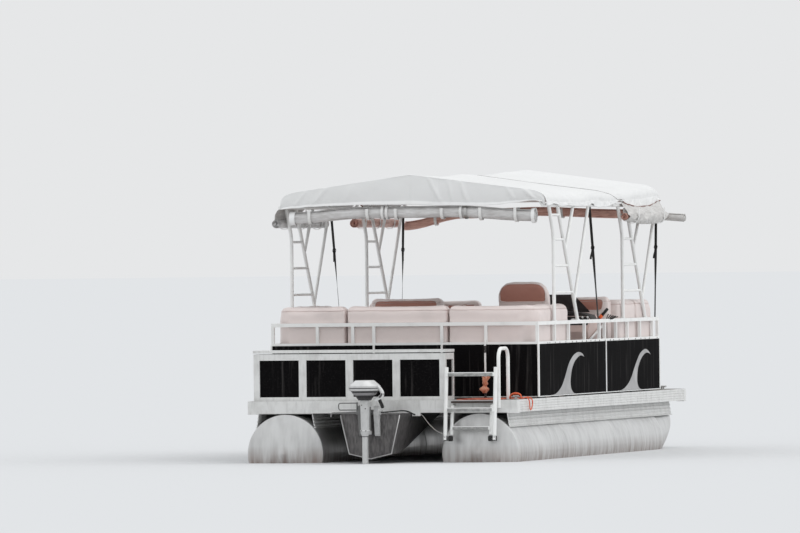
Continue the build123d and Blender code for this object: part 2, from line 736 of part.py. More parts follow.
# Stern seat outlines: x0, x1, y0, y1
BENCH_BASE = [
    (-SEAT_X, SEAT_X, FENCE_IN, BENCH_FRONT - 40),
    (-SEAT_X, -PLINTH_IN - 40, BENCH_FRONT - 40, PORT_LEG_END),
    (PLINTH_IN + 40, SEAT_X, BENCH_FRONT - 40, STARBOARD_LEG_END),
]
BENCH_SEATS = [
    (-SIDE_IN + 4, -PLINTH_IN, BENCH_FRONT + 4, PORT_LEG_END + 10),
    (-SIDE_IN + 4, PORT_SEAM - SEAM, BACK_FRONT + 2, BENCH_FRONT),
    (PORT_SEAM, STARBOARD_SEAM, BACK_FRONT + 2, BENCH_FRONT),
    (STARBOARD_SEAM + SEAM, SIDE_IN - 4, BACK_FRONT + 2, BENCH_FRONT),
    (PLINTH_IN, SIDE_IN - 4, BENCH_FRONT + 4, STARBOARD_LEG_END + 10),
]
LOUNGE_IN = 440
LOUNGE_START = 3620
LOUNGE_END = FENCE_BOW - RAIL_DEEP - 2
# Starboard bow seat outlines, mirrored to port
LOUNGE_BASE = [(LOUNGE_IN + 30, SEAT_X - 60, LOUNGE_START, LOUNGE_END)]
LOUNGE_SEATS = [
    (LOUNGE_IN, SIDE_IN - 4, LOUNGE_START + 150, 4390),
    (LOUNGE_IN, SIDE_IN - 4, 4396, LOUNGE_END - BACK_THICK - 4),
]
BACK_EDGE = 62


def back_pad(outline, top, round_corners=()):
    """A seat back on a plan outline: chosen upright corners rounded well, then every edge softened."""
    body = Pos(0, 0, SEAT_BASE) * extrude(make_face(Polyline(*outline, close=True).edges()), top - SEAT_BASE)
    for x, y in round_corners:
        upright = body.edges().filter_by(Axis.Z)
        nearest = upright.sort_by(lambda edge: abs(edge.center().X - x) + abs(edge.center().Y - y))
        body = fillet(nearest[0], CORNER_R)
    return fillet(body.edges().group_by(Axis.Z)[-1], BACK_EDGE)


def run_back(x0, x1, y0, y1, top):
    """A straight back between two corners."""
    return back_pad([(x0, y0), (x1, y0), (x1, y1), (x0, y1)], top)


def corner_back(seam_x, y0, y1, top):
    """A starboard back that turns the corner from the bench to the side, rounded outside."""
    outline = [(seam_x, y0), (SEAT_X, y0), (SEAT_X, y1), (SIDE_IN, y1), (SIDE_IN, y0 + BACK_THICK)]
    outline.append((seam_x, y0 + BACK_THICK))
    return back_pad(outline, top, [(SEAT_X, y0)])


def bow_corner_back():
    """The starboard bow corner's back: along the side, then across the bow end of the lounge."""
    y1 = LOUNGE_END
    outline = [(SEAT_X, 4396), (SEAT_X, y1), (LOUNGE_IN, y1), (LOUNGE_IN, y1 - BACK_THICK)]
    outline += [(SIDE_IN, y1 - BACK_THICK), (SIDE_IN, 4396)]
    return back_pad(outline, LOUNGE_BACK_TOP, [(SEAT_X, y1)])


backs = [
    corner_back(STARBOARD_SEAM + SEAM, FENCE_IN, CORNER_END, BACK_TOP),
    run_back(PORT_SEAM, STARBOARD_SEAM, FENCE_IN, BACK_FRONT, BACK_TOP),
    mirror(corner_back(-PORT_SEAM + SEAM, FENCE_IN, CORNER_END, BACK_TOP), about=Plane.YZ),
    run_back(SIDE_IN, SEAT_X, CORNER_END + SEAM, STARBOARD_LEG_END, BACK_TOP),
    run_back(-SEAT_X, -SIDE_IN, CORNER_END + SEAM, 1750, BACK_TOP),
    run_back(-SEAT_X, -SIDE_IN, 1750 + SEAM, PORT_LEG_END, BACK_TOP),
]
for back in (
    run_back(LOUNGE_IN, SIDE_IN + 95, LOUNGE_START, LOUNGE_START + 146, LOUNGE_BACK_TOP + 30),
    run_back(SIDE_IN, SEAT_X, LOUNGE_START + 146 + SEAM, 4390, LOUNGE_BACK_TOP),
    bow_corner_back(),
):
    backs += both_sides(back)

bases = seat_boxes(BENCH_BASE, 0, SEAT_BASE)
cushions = seat_boxes(BENCH_SEATS, SEAT_BASE, CUSHION_TOP, 24)
for base in seat_boxes(LOUNGE_BASE, 0, SEAT_BASE):
    bases += both_sides(base)
for seat in seat_boxes(LOUNGE_SEATS, SEAT_BASE, CUSHION_TOP, 24):
    cushions += both_sides(seat)
save("seat_bases", *bases)
save("seat_cushions", *cushions)
save("seat_backs", *backs)


# Helm: swivel chair, console, windscreen and wheel

CHAIR_X = 750
CHAIR_Y = 2400
CHAIR_Z = 420
CONSOLE_Y = 2990
CONSOLE_END = 3420
CONSOLE_IN = 560
CONSOLE_OUT = 1090


def pedestal():
    """A round foot plate and column under the chair."""
    foot = Pos(CHAIR_X, CHAIR_Y, 6) * Cylinder(150, 12)
    column = Pos(CHAIR_X, CHAIR_Y, 12 + 190) * Cylinder(38, 380)
    return foot + column


def chair():
    """Seat and leaning back of the helm chair, on a plate over the column; the back narrows upwards."""
    plate = block(CHAIR_X - 130, CHAIR_X + 130, CHAIR_Y - 120, CHAIR_Y + 120, CHAIR_Z - 27, CHAIR_Z)
    seat = block(CHAIR_X - 230, CHAIR_X + 230, CHAIR_Y - 200, CHAIR_Y + 250, CHAIR_Z, CHAIR_Z + 110, 40)
    half = [(0, 0), (215, 0), (232, 60), (234, 400), (226, 450), (196, 510), (150, 545), (80, 556), (0, 558)]
    outline = half[1:-1] + [(-x, z) for x, z in reversed(half[1:-1])]
    plane = Plane(origin=(0, 55, 0), x_dir=(1, 0, 0), z_dir=(0, -1, 0))
    back = extrude(plane * make_face(Polyline(*outline, close=True).edges()), 110)
    back = fillet(back.edges().group_by(Axis.Y)[0] + back.edges().group_by(Axis.Y)[-1], 30)
    back = Pos(CHAIR_X - 17, CHAIR_Y - 215, CHAIR_Z + 40) * Rot(8, 0, 0) * back
    return plate + seat + back


def console():
    """The helm stand: a box with a leaning dash, its top falling forward."""
    outline = [
        (CONSOLE_Y, 0),
        (CONSOLE_Y, 560),
        (CONSOLE_Y + 110, 700),
        (CONSOLE_END - 60, 730),
        (CONSOLE_END, 640),
        (CONSOLE_END, 0),
    ]
    body = slab(CONSOLE_IN, CONSOLE_OUT - CONSOLE_IN, outline)
    body = fillet(body.edges().filter_by(Axis.X), 18)
    # The dash falls away towards the side of the boat
    fall = [(CONSOLE_IN + 330, 800), (CONSOLE_OUT + 1, 800), (CONSOLE_OUT + 1, 650), (CONSOLE_OUT - 25, 705)]
    fall.append((CONSOLE_IN + 330, 760))
    spare = 50
    plane = Plane(origin=(0, CONSOLE_Y - spare, 0), x_dir=(1, 0, 0), z_dir=(0, -1, 0))
    face = plane * make_face(Polyline(*fall, close=True).edges())
    return body - extrude(face, -(CONSOLE_END - CONSOLE_Y + 2 * spare))


def windscreen():
    """A smoked screen on the console's front edge, falling towards the side."""
    outline = [(0, 0), (440, 0), (432, 14), (282, 165), (20, 165)]
    face = make_face(Polyline(*outline, close=True).edges())
    plane = Plane(origin=(CONSOLE_IN + 20, CONSOLE_END - 80, 731), x_dir=(1, 0, 0), z_dir=(0, -1, 0.25))
    return extrude(plane * face, 8)


WHEEL_R = 170
WHEEL_Y = CONSOLE_Y - 92
WHEEL_Z = 660
WHEEL_TILT = 25


def wheel():
    """A three-spoke wheel, in its own frame with its axis along Y, then tilted back."""
    rim = Rot(90, 0, 0) * Torus(WHEEL_R - 13, 13)
    body = rim + Rot(90, 0, 0) * Cylinder(36, 30)
    for turn in (90, 210, 330):
        body += Rot(0, turn, 0) * rod((20, 0, 0), (WHEEL_R - 13, 0, 0), 9)
    return Pos(CHAIR_X, WHEEL_Y, WHEEL_Z) * Rot(-WHEEL_TILT, 0, 0) * body


def wheel_hub():
    """The boss and shaft between the wheel and the dash."""
    tilt = radians(WHEEL_TILT)
    start = (CHAIR_X, WHEEL_Y + 16 * cos(tilt), WHEEL_Z - 16 * sin(tilt))
    reach = 150
    end = (CHAIR_X, WHEEL_Y + reach * cos(tilt), WHEEL_Z - reach * sin(tilt))
    return rod(start, end, 24)


save("chair_pedestal", pedestal())
save("helm_chair", chair())
save("helm_console", console() + wheel_hub())
save("windscreen", windscreen())
save("steering_wheel", wheel())


# Motor pod: a wedge under the deck that ends in the transom

def pod():
    """The transom outline run forward, its keel rising to the deck, with a raised rim."""
    top = -EDGE_HEIGHT
    outline = [(-266, top), (266, top), (190, -455), (0, -500), (-190, -455)]
    face = make_face(Polyline(*outline, close=True).edges())
    plane = Plane(origin=(0, POD_STERN, 0), x_dir=(1, 0, 0), z_dir=(0, -1, 0))
    body = extrude(plane * face, -1430)
    wedge = [(POD_STERN - 1, top + 1), (1050, top + 1), (700, -210), (100, -400), (POD_STERN - 1, -501)]
    body = body & slab(-300, 600, wedge)
    rim_inside = offset(face, -12)
    rim = extrude(plane * (face - rim_inside), 7)
    return body + rim


save("motor_pod", pod())


# Outboard: clamp on the pod, swivel that tilts, and the motor that steers

CHEEK_X = 50
CHEEK = 42
BOSS = 12


def clamp():
    """Two thick cheeks over the transom edge, with the tilt tube between them."""
    outline = [
        (POD_STERN + 60, -EDGE_HEIGHT),
        (POD_STERN - 8, -EDGE_HEIGHT),
        (POD_STERN - 8, -300),
        (POD_STERN - 26, -300),
        (POD_STERN - 40, -284),
        (POD_STERN - 78, -96),
        (POD_STERN - 62, -40),
        (POD_STERN - 20, -34),
        (POD_STERN + 60, -84),
    ]
    cheek = slab(CHEEK_X, CHEEK, outline)
    cheek += rod((CHEEK_X + CHEEK, TILT_Y, TILT_Z), (CHEEK_X + CHEEK + BOSS, TILT_Y, TILT_Z), 22)
    body = cheek + mirror(cheek, about=Plane.YZ)
    bar = block(-CHEEK_X, CHEEK_X, POD_STERN - 7, POD_STERN + 40, -EDGE_HEIGHT + 1, -EDGE_HEIGHT + 14)
    body += bar
    return body + rod((-CHEEK_X - CHEEK, TILT_Y, TILT_Z), (CHEEK_X + CHEEK, TILT_Y, TILT_Z), 12)


def swivel():
    """The tilting bracket: an eye round the tilt tube and the upright steering barrel."""
    eye = rod((-46, TILT_Y, TILT_Z), (46, TILT_Y, TILT_Z), 24)
    barrel = rod((0, STEER_Y, -252), (0, STEER_Y, -48), 27)
    web = block(-14, 14, STEER_Y, TILT_Y, -190, TILT_Z)
    body = eye + barrel + web
    body -= rod((-70, TILT_Y, TILT_Z), (70, TILT_Y, TILT_Z), 12 + PIN_PLAY)
    return body - rod((0, STEER_Y, -270), (0, STEER_Y, -40), 12 + PIN_PLAY)


def midsection():
    """The column from the powerhead to the slim exhaust tube, with both steering yokes."""
    # Column sections: z, half width, half depth
    upper = ((6, 42, 60), (-120, 38, 54), (-248, 36, 50))
    lower = ((-248, 41, 55), (-264, 41, 55), (-296, 22, 36))
    column = loft([at_leg(z, wide, deep) for z, wide, deep in upper])
    collar = loft([at_leg(z, wide, deep) for z, wide, deep in lower])
    body = column + collar
    for low, high in ((-46, -8), (-286, -254)):
        body += block(-24, 24, LEG_Y + 20, STEER_Y, low, high)
        body += rod((0, STEER_Y, low), (0, STEER_Y, high), 24)
    return body + rod((0, STEER_Y, -280), (0, STEER_Y, -10), 12)


def at_leg(z, wide, deep):
    """A rounded section of the leg at one height."""
    corner = min(wide, deep) * 0.8
    return Plane.XY.offset(z) * Pos(0, LEG_Y) * RectangleRounded(2 * wide, 2 * deep, corner)


def gearcase():
    """The slim tube below the collar, the flat plate over the propeller, torpedo and skeg."""
    shaft = loft([at_leg(-296, 21, 35), at_leg(SHAFT_END, 20, 42)])
    plate = Plane.XY.offset(SHAFT_END) * Pos(0, LEG_Y - 30) * SlotOverall(300, 150, rotation=90)
    body = shaft + extrude(plate, -8)
    body += loft([at_leg(SHAFT_END - 8, 20, 55), at_leg(PROP_Z + 20, 16, 62)])
    profile = [(0, 150), (20, 132), (36, 80), (40, 10), (38, -60), (30, -88), (0, -88)]
    torpedo = revolve(make_face(Polyline(*profile, close=True).edges()), Axis.Y)
    body += Pos(0, LEG_Y + 4, PROP_Z) * torpedo
    skeg = [(LEG_Y + 60, PROP_Z), (LEG_Y - 70, PROP_Z), (LEG_Y - 96, PROP_Z - 165)]
    skeg.append((LEG_Y - 50, PROP_Z - 170))
    return body + slab(-5, 10, skeg)


def propeller():
    """A hub with three twisted blades."""
    hub_y = LEG_Y - 84 - 34
    body = Rot(90, 0, 0) * Cylinder(27, 62)
    body += Pos(0, -36, 0) * Rot(90, 0, 0) * Cone(20, 8, 24)
    for turn in (0, 120, 240):
        # Blade sections: radius, chord, pitch angle, thickness
        faces = []
        for radius, chord, pitch, thick in ((16, 58, 62, 9), (62, 96, 40, 7), (PROP_R - 4, 40, 28, 4)):
            chord_line = (cos(radians(pitch)), sin(radians(pitch)), 0)
            plane = Plane(origin=(0, 0, radius), x_dir=chord_line, z_dir=(0, 0, 1))
            faces.append(plane * Ellipse(chord / 2, thick / 2))
        body += Rot(0, turn, 0) * loft(faces)
    return Pos(0, hub_y, PROP_Z) * body


def cowl_section(z, half_width, front, back, corner):
    """A rounded rectangle at one height of the cowl."""
    centre = (front + back) / 2
    plane = Plane.XY.offset(z) * Pos(0, centre)
    return plane * RectangleRounded(2 * half_width, front - back, corner)


def cowl():
    """The powerhead cover: a hexagon from behind, widest at the parting line."""
    # z, half width, front y, back y, corner
    upper = [(118, 137, -372, -728, 40), (186, 78, -410, -690, 34)]
    lip = [(98, 137, -372, -728, 40), (118, 137, -372, -728, 40)]
    body = loft([cowl_section(*row) for row in upper], ruled=True)
    return body + loft([cowl_section(*row) for row in lip], ruled=True)


def cowl_pan():
    """The dark lower half of the cover, narrowing to the column."""
    rows = [(97, 128, -380, -720, 38), (52, 100, -410, -690, 34), (12, 60, -450, -650, 28)]
    return loft([cowl_section(*row) for row in rows], ruled=True)


def steering_link():
    """The drag link on the port side: the cable's ram and a bent rod beside it."""
    boss = -CHEEK_X - CHEEK - BOSS
    reach = -275
    turns = [(boss, TILT_Y, -14), (reach, TILT_Y, -14), (reach, TILT_Y, -74), (boss, TILT_Y, -74)]
    loop = bent_rod(turns, 20, 5)
    ram = bent_rod([(boss, TILT_Y, TILT_Z), (-340, TILT_Y, TILT_Z - 6), (-344, TILT_Y, TILT_Z - 40)], 14, 8)
    plate = block(boss - 8, boss + 1, TILT_Y - 12, TILT_Y + 12, TILT_Z - 20, -6)
    return loop + ram + plate


save("motor_clamp", clamp() + steering_link())
save("motor_swivel", swivel())
save("motor_leg", midsection())
save("gearcase", gearcase())
save("propeller", propeller())
save("motor_cowl", cowl())
save("cowl_pan", cowl_pan())


# Boarding ladder: a fixed half on the stern edge and a half that folds down off it

FIXED_X = (652, 1004)
FOLD_X = (607, 1049)
STILE_R = 16


def fixed_ladder():
    """Two stiles on the stern edge, a dark top tread and one bare tread."""
    body = None
    for x in FIXED_X:
        stile = bent_rod([(x, 0, -48), (x, -52, -48), (x, -100, -300)], 24, STILE_R - 1)
        body = stile if body is None else body + stile
    return body + block(FIXED_X[0], FIXED_X[1], -122, -72, -256, -226)


def fold_ladder():
    """Two longer stiles with two treads; an eye at each foot takes the hinge pin."""
    body = None
    for x in FOLD_X:
        stile = rod((x, HINGE_Y - 8, HINGE_Z + 30), (x, HINGE_Y + 60, 286), STILE_R + 1)
        stile += rod((x - 12, HINGE_Y, HINGE_Z), (x + 12, HINGE_Y, HINGE_Z), 20)
        stile += block(x - 12, x + 12, HINGE_Y - 18, HINGE_Y + 14, HINGE_Z, HINGE_Z + 40)
        stile -= rod((x - 13, HINGE_Y, HINGE_Z), (x + 13, HINGE_Y, HINGE_Z), 6 + PIN_PLAY)
        body = stile if body is None else body + stile
    # Treads: middle height, and their place between the stiles' lean
    for z in (225, -81):
        y = HINGE_Y - 8 + 68 * (z - HINGE_Z - 30) / (286 - HINGE_Z - 30)
        body += block(FOLD_X[0], FOLD_X[1], y - 28, y + 28, z - 17, z + 17)
    return body


def ladder_hinges():
    """Dark plastic feet on the fixed stiles, each with the pin for the folding half."""
    feet = []
    for fixed, fold in zip(FIXED_X, FOLD_X):
        side = 1 if fixed > fold else -1
        inner = fold + side * 18
        outer = fixed + side * 16
        sides = sorted([inner, outer])
        low = block(*sides, HINGE_Y - 16, HINGE_Y + 50, HINGE_Z - 44, HINGE_Z + 30)
        pin = rod((fold - side * 16, HINGE_Y, HINGE_Z), (inner + side, HINGE_Y, HINGE_Z), 6)
        feet.append(low + pin)
    return feet


top_tread = block(FIXED_X[0] - 10, FIXED_X[1] + 10, -70, -1, -26, -8)
rail_x = 1059
rail_top = 445
rail_line = [(rail_x, -18, -70), (rail_x, -18, rail_top), (rail_x, 300, rail_top), (rail_x, 300, 0)]
handrail = bent_rod(rail_line, 90, 16)
handrail += block(rail_x - 14, rail_x + 14, -18, 0, -66, -40)
save("ladder_fixed", fixed_ladder())
save("ladder_tread", top_tread)
save("ladder_hinges", *[foot - fixed_ladder() for foot in ladder_hinges()])
save("ladder_folding", fold_ladder())
save("handrail", handrail)


# Deck fittings

CLEAT_BAR_Z = 30
CLEAT_BAR_R = 8


def cleat(x, y, turn=0):
    """A two-horned mooring cleat, its bar along the boat unless turned."""
    body = block(-18, 18, -38, 38, 0, 8)
    for step in (-20, 20):
        body += rod((0, step, 0), (0, step, CLEAT_BAR_Z), 8)
    body += rod((0, -70, CLEAT_BAR_Z), (0, 70, CLEAT_BAR_Z), CLEAT_BAR_R)
    return Pos(x, y, 0) * Rot(0, 0, turn) * body


STERN_CLEAT = (1150, 215)
PORT_STERN_CLEAT = (-1150, 385)
BOW_CLEAT = (1130, 5560)
BOW_CLEAT_TURN = 40
stern_cleats = [cleat(*STERN_CLEAT), cleat(*PORT_STERN_CLEAT)]
save("cleats", *stern_cleats, *both_sides(cleat(*BOW_CLEAT, BOW_CLEAT_TURN)))
save("deck_mat", block(660, 1040, 60, 700, 0, 8))


# Cords: the motor's cable, a thin line to the ladder, and a rope on the stern cleat

ARC_SHARE = 0.45


def cord(node, points, diameter):
    """A tube along straight runs, each corner turned by the largest arc that its runs allow."""
    stops = [Vector(*point) for point in points]
    runs = [end - start for start, end in zip(stops, stops[1:])]
    radii = []
    for before, after in zip(runs, runs[1:]):
        half_turn = radians(before.get_angle(after)) / 2
        radii.append(ARC_SHARE * min(before.length, after.length) / tan(half_turn))
    path = FilletPolyline(*points, radius=radii)
    section = Plane(origin=path @ 0, z_dir=path % 0) * Circle(diameter / 2)
    tube = sweep(section, path=path)
    whole = pi * diameter**2 / 4 * path.length
    print(node, "length", round(path.length), "radii", [round(radius) for radius in radii])
    print(node, "volume against section times length", round(tube.volume / whole, 3))
    save(node, tube)


CABLE = 12
LINE = 5
ROPE = 10
HANK_R = 13

# From the clamp's starboard boss, up along the transom and out to the bracket
CABLE_ROUTE = [
    (107, TILT_Y, TILT_Z), (140, TILT_Y, TILT_Z), (182, -392, -91), (222, -340, -87), (250, -276, -84),
    (268, -208, -87), (283, -142, -97), (295, -88, -111), (299, -48, -120), (300, -14.5, -122),
]
# From the bracket, down under the stern and across to the ladder's port stile
LINE_ROUTE = [
    (349.2, -4, -124), (363, -5, -126), (381, -13, -144), (410, -30, -180), (452, -48, -222),
    (500, -66, -260), (550, -82, -284), (596, -92, -292), (636.2, -97, -289),
]
# From the hank's outer foot, over the side in a bight, and back to its inner foot
ROPE_ROUTE = [
    (1200, 239.5, 9), (1200, 260, 9), (1206, 284, 15), (1222, 300, 17), (1237, 315, 5),
    (1242, 328, -17), (1240, 346, -54), (1235, 376, -92), (1235, 412, -95), (1237, 435, -69),
    (1240, 442, -38), (1240, 443, -13), (1228, 438, 8), (1207, 430, 18), (1184, 418, 14),
    (1170, 396, 8), (1165, 364, 7), (1153, 332, 7), (1132, 306, 7), (1110, 278, 7),
    (1101, 245, 8), (1100, 217, 9),
]


def hank():
    """The rope's folded turns, laid over the cleat's bar with both feet on the deck."""
    x, y = STERN_CLEAT
    crown = CLEAT_BAR_Z + CLEAT_BAR_R + HANK_R + 1
    lean = 12
    route = [(x - 50, y - 15, -20), (x - 50 + lean, y - 9, crown)]
    route += [(x + 50 - lean, y + 4, crown), (x + 50, y + 10, -20)]
    return bent_rod(route, 24, HANK_R) - block(x - 90, x + 90, y - 60, y + 60, -60, 0)


cord("motor_cable", CABLE_ROUTE, CABLE)
cord("thin_line", LINE_ROUTE, LINE)
cord("rope_bight", ROPE_ROUTE, ROPE)
save("rope_hank", hank())
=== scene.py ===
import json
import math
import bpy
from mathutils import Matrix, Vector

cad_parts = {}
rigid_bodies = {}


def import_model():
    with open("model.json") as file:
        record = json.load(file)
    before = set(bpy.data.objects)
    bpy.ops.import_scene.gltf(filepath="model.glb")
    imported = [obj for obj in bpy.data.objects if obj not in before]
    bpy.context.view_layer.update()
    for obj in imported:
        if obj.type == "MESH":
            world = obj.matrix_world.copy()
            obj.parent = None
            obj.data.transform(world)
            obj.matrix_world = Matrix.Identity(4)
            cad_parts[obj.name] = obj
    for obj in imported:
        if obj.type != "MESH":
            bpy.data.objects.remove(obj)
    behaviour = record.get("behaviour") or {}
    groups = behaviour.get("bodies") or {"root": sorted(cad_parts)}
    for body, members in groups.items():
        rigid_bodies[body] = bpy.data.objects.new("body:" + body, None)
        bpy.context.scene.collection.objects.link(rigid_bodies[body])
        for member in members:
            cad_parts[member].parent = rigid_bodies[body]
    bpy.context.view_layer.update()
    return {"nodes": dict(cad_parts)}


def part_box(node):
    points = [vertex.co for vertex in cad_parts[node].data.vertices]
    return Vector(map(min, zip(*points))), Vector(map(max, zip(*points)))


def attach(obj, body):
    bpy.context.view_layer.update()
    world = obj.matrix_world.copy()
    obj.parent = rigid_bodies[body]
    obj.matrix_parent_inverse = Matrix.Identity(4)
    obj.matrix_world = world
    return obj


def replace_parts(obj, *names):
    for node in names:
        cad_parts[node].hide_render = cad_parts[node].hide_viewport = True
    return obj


bl_info = {
    "name": "Pontoon boat",
    "version": (1, 0, 0),
    "blender": (4, 5, 0),
    "location": "View3D > Sidebar > Boat",
    "description": "Dresses a pontoon boat with cloth, vinyl, metal, rope and a plain stage",
    "category": "Add Mesh",
}

import bmesh
import bpy
from mathutils import Matrix, Vector, noise

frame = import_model()

# Places are measured on the boat: x from its middle to starboard, y from its stern edge to the bow,
# z up from the deck's top
CAPS_LOW, CAPS_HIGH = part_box("corner_caps")
STERN = CAPS_LOW.y
DECK = CAPS_HIGH.z


def at(x, y, z):
    """A place on the boat, in the frame's metres."""
    return Vector((x, STERN + y, DECK + z))


def linear(colour):
    """Linear red, green, blue and alpha of an sRGB hex colour; values that are linear stay as they are."""
    if not isinstance(colour, str):
        return list(colour)
    channels = [int(colour[start:start + 2], 16) / 255 for start in (1, 3, 5)]
    return [c / 12.92 if c < 0.04045 else ((c + 0.055) / 1.055) ** 2.4 for c in channels] + [1.0]


class BoatSizes(bpy.types.PropertyGroup):
    """Sizes of the soft goods and small fittings."""

    cloth: bpy.props.FloatProperty(
        name="Canopy cloth", description="Thickness of the canopy's coated cloth", default=0.002,
        unit="LENGTH")
    sag: bpy.props.FloatProperty(
        name="Canopy sag", description="How far the cloth hangs between two bows", default=0.013,
        unit="LENGTH")
    piping: bpy.props.FloatProperty(
        name="Piping", description="Radius of the piping on the seats", default=0.0045, unit="LENGTH")
    swell: bpy.props.FloatProperty(
        name="Swell", description="How far the stuffing may push the vinyl out", default=0.012,
        unit="LENGTH")
    screw: bpy.props.FloatProperty(
        name="Screw head", description="Radius of the screw heads under the rails", default=0.006,
        unit="LENGTH")


class BoatColours(bpy.types.PropertyGroup):
    """Colours of the main finishes."""

    canopy: bpy.props.FloatVectorProperty(
        name="Canopy", description="White coated cloth", size=4, subtype="COLOR",
        default=linear("#e4e4e3"))
    vinyl: bpy.props.FloatVectorProperty(
        name="Vinyl", description="Pinkish beige seats", size=4, subtype="COLOR",
        default=linear("#e0d3cf"))
    insert: bpy.props.FloatVectorProperty(
        name="Insert", description="Brown seat inserts", size=4, subtype="COLOR",
        default=linear("#ad7869"))
    frame: bpy.props.FloatVectorProperty(
        name="Frame", description="Off-white powder coat", size=4, subtype="COLOR",
        default=linear("#f0f0ee"))
    panel: bpy.props.FloatVectorProperty(
        name="Panel", description="Near-black fence sheets", size=4, subtype="COLOR",
        default=linear("#100f10"))
    rope: bpy.props.FloatVectorProperty(
        name="Rope", description="Orange braided rope", size=4, subtype="COLOR",
        default=linear("#f5652c"))


# Materials

def add(tree, kind, inputs=None, **settings):
    """Adds one node with its settings; an input is a value or another node's output."""
    made = tree.nodes.new(kind)
    for name, value in settings.items():
        setattr(made, name, value)
    for socket, value in (inputs or {}).items():
        if isinstance(value, bpy.types.NodeSocket):
            tree.links.new(value, made.inputs[socket])
        else:
            made.inputs[socket].default_value = value
    return made


def blank(name, colour, roughness, inputs=None):
    """A material with a Principled shader, and the place on the boat as its coordinates."""
    material = bpy.data.materials.new(name)
    material.use_nodes = True
    tree = material.node_tree
    tree.nodes.clear()
    shader = add(tree, "ShaderNodeBsdfPrincipled", {
        "Base Color": linear(colour), "Roughness": roughness, **(inputs or {})})
    add(tree, "ShaderNodeOutputMaterial", {"Surface": shader.outputs[0]})
    place = add(tree, "ShaderNodeTexCoord").outputs["Object"]
    material.diffuse_color = linear(colour)
    return material, tree, shader, place


def spots(tree, place, size, stretch=(1, 1, 1), low=0.4, high=0.6, detail=3.0):
    """Noise with spots of a real size in metres, squeezed to run from 0 to 1 between low and high."""
    scale = [stretch[axis] / size for axis in range(3)]
    spread = add(tree, "ShaderNodeMapping", {"Vector": place, "Scale": scale})
    cloud = add(tree, "ShaderNodeTexNoise", {"Vector": spread.outputs[0], "Scale": 1.0, "Detail": detail})
    return add(tree, "ShaderNodeMapRange", {
        "Value": cloud.outputs[0], "From Min": low, "From Max": high}).outputs[0]


def paint(tree, shader, base, *layers):
    """Colours the shader: over a base lie layers, each a pattern from 0 to 1, its strength and its colour."""
    mixed = linear(base)
    for pattern, strength, colour in layers:
        if strength < 1:
            pattern = add(tree, "ShaderNodeMapRange", {"Value": pattern, "To Max": strength}).outputs[0]
        mixed = add(tree, "ShaderNodeMix", {0: pattern, 6: mixed, 7: linear(colour)},
                    data_type="RGBA").outputs[2]
    tree.links.new(mixed, shader.inputs["Base Color"])


def roughen(tree, shader, pattern, low, high):
    """Lets the roughness follow a pattern from low to high."""
    varied = add(tree, "ShaderNodeMapRange", {"Value": pattern, "To Min": low, "To Max": high})
    tree.links.new(varied.outputs[0], shader.inputs["Roughness"])


def emboss(tree, shader, height, depth, strength=1.0):
    """Turns a height from 0 to 1 into bump of a real depth in metres."""
    bump = add(tree, "ShaderNodeBump", {"Height": height, "Distance": depth, "Strength": strength})
    tree.links.new(bump.outputs[0], shader.inputs["Normal"])


def darker(colour, share):
    """The same colour with only a share of its light."""
    return [channel * share for channel in linear(colour)[:3]] + [1.0]


def mill_aluminium():
    """Bare marine aluminium sheet: rolled, dulled, streaked down its sides and brown at the waterline."""
    material, tree, shader, place = blank("mill_aluminium", "#c4c4c3", 0.42, {"Metallic": 0.6})
    streaks = spots(tree, place, 0.05, stretch=(1, 1, 0.12), low=0.35, high=0.78, detail=5)
    clouds = spots(tree, place, 0.35, low=0.38, high=0.64)
    height = add(tree, "ShaderNodeSeparateXYZ", {"Vector": place}).outputs[2]
    # The stain is strongest at the water and gone about 150 mm above it
    above = add(tree, "ShaderNodeMapRange", {
        "Value": height, "From Min": 0.0, "From Max": 0.15, "To Min": 1.0, "To Max": 0.0}).outputs[0]
    ragged = add(tree, "ShaderNodeMapRange", {"Value": streaks, "To Min": 0.25, "To Max": 1.0}).outputs[0]
    stain = add(tree, "ShaderNodeMath", {0: above, 1: ragged}, operation="MULTIPLY").outputs[0]
    paint(tree, shader, "#cdcdcc", (streaks, 1, "#b2b1b0"), (clouds, 0.6, "#dededd"), (stain, 1, "#7a6459"))
    roughen(tree, shader, clouds, 0.34, 0.52)
    emboss(tree, shader, clouds, 0.0015, 0.4)
    return material


def powder_coat(colour):
    """Off-white powder coat on aluminium tube: even, satin, with a faint orange peel and grey grime."""
    material, tree, shader, place = blank("powder_coat", colour, 0.38)
    grime = spots(tree, place, 0.12, low=0.5, high=0.75, detail=4)
    paint(tree, shader, colour, (grime, 0.3, "#c6c5c2"))
    emboss(tree, shader, spots(tree, place, 0.004), 0.0002, 0.4)
    return material


def weathered_coat():
    """The same coat on the deck's edge and the locker: greyer, rubbed, with fine rain marks."""
    material, tree, shader, place = blank("weathered_coat", "#dcdcda", 0.45)
    grime = spots(tree, place, 0.10, low=0.45, high=0.75, detail=5)
    rain = spots(tree, place, 0.02, stretch=(1, 1, 0.15), low=0.5, high=0.85, detail=5)
    paint(tree, shader, "#dfdfdd", (grime, 0.5, "#b9b8b5"), (rain, 0.4, "#a19f9c"))
    emboss(tree, shader, spots(tree, place, 0.004), 0.0002, 0.4)
    return material


def tread_metal():
    """Ribbed tread plate: dull grey, with ribs 12 mm apart across the step."""
    material, tree, shader, place = blank("tread_plate", "#a3a3a1", 0.55, {"Metallic": 0.3})
    # A wave of scale 1 is 314 mm long
    ribs = add(tree, "ShaderNodeTexWave", {"Vector": place, "Scale": 26.526}, bands_direction="Z").outputs[1]
    wear = spots(tree, place, 0.03, low=0.4, high=0.7)
    paint(tree, shader, "#8f8f8d", (wear, 1, "#b4b4b2"))
    emboss(tree, shader, ribs, 0.0012)
    return material


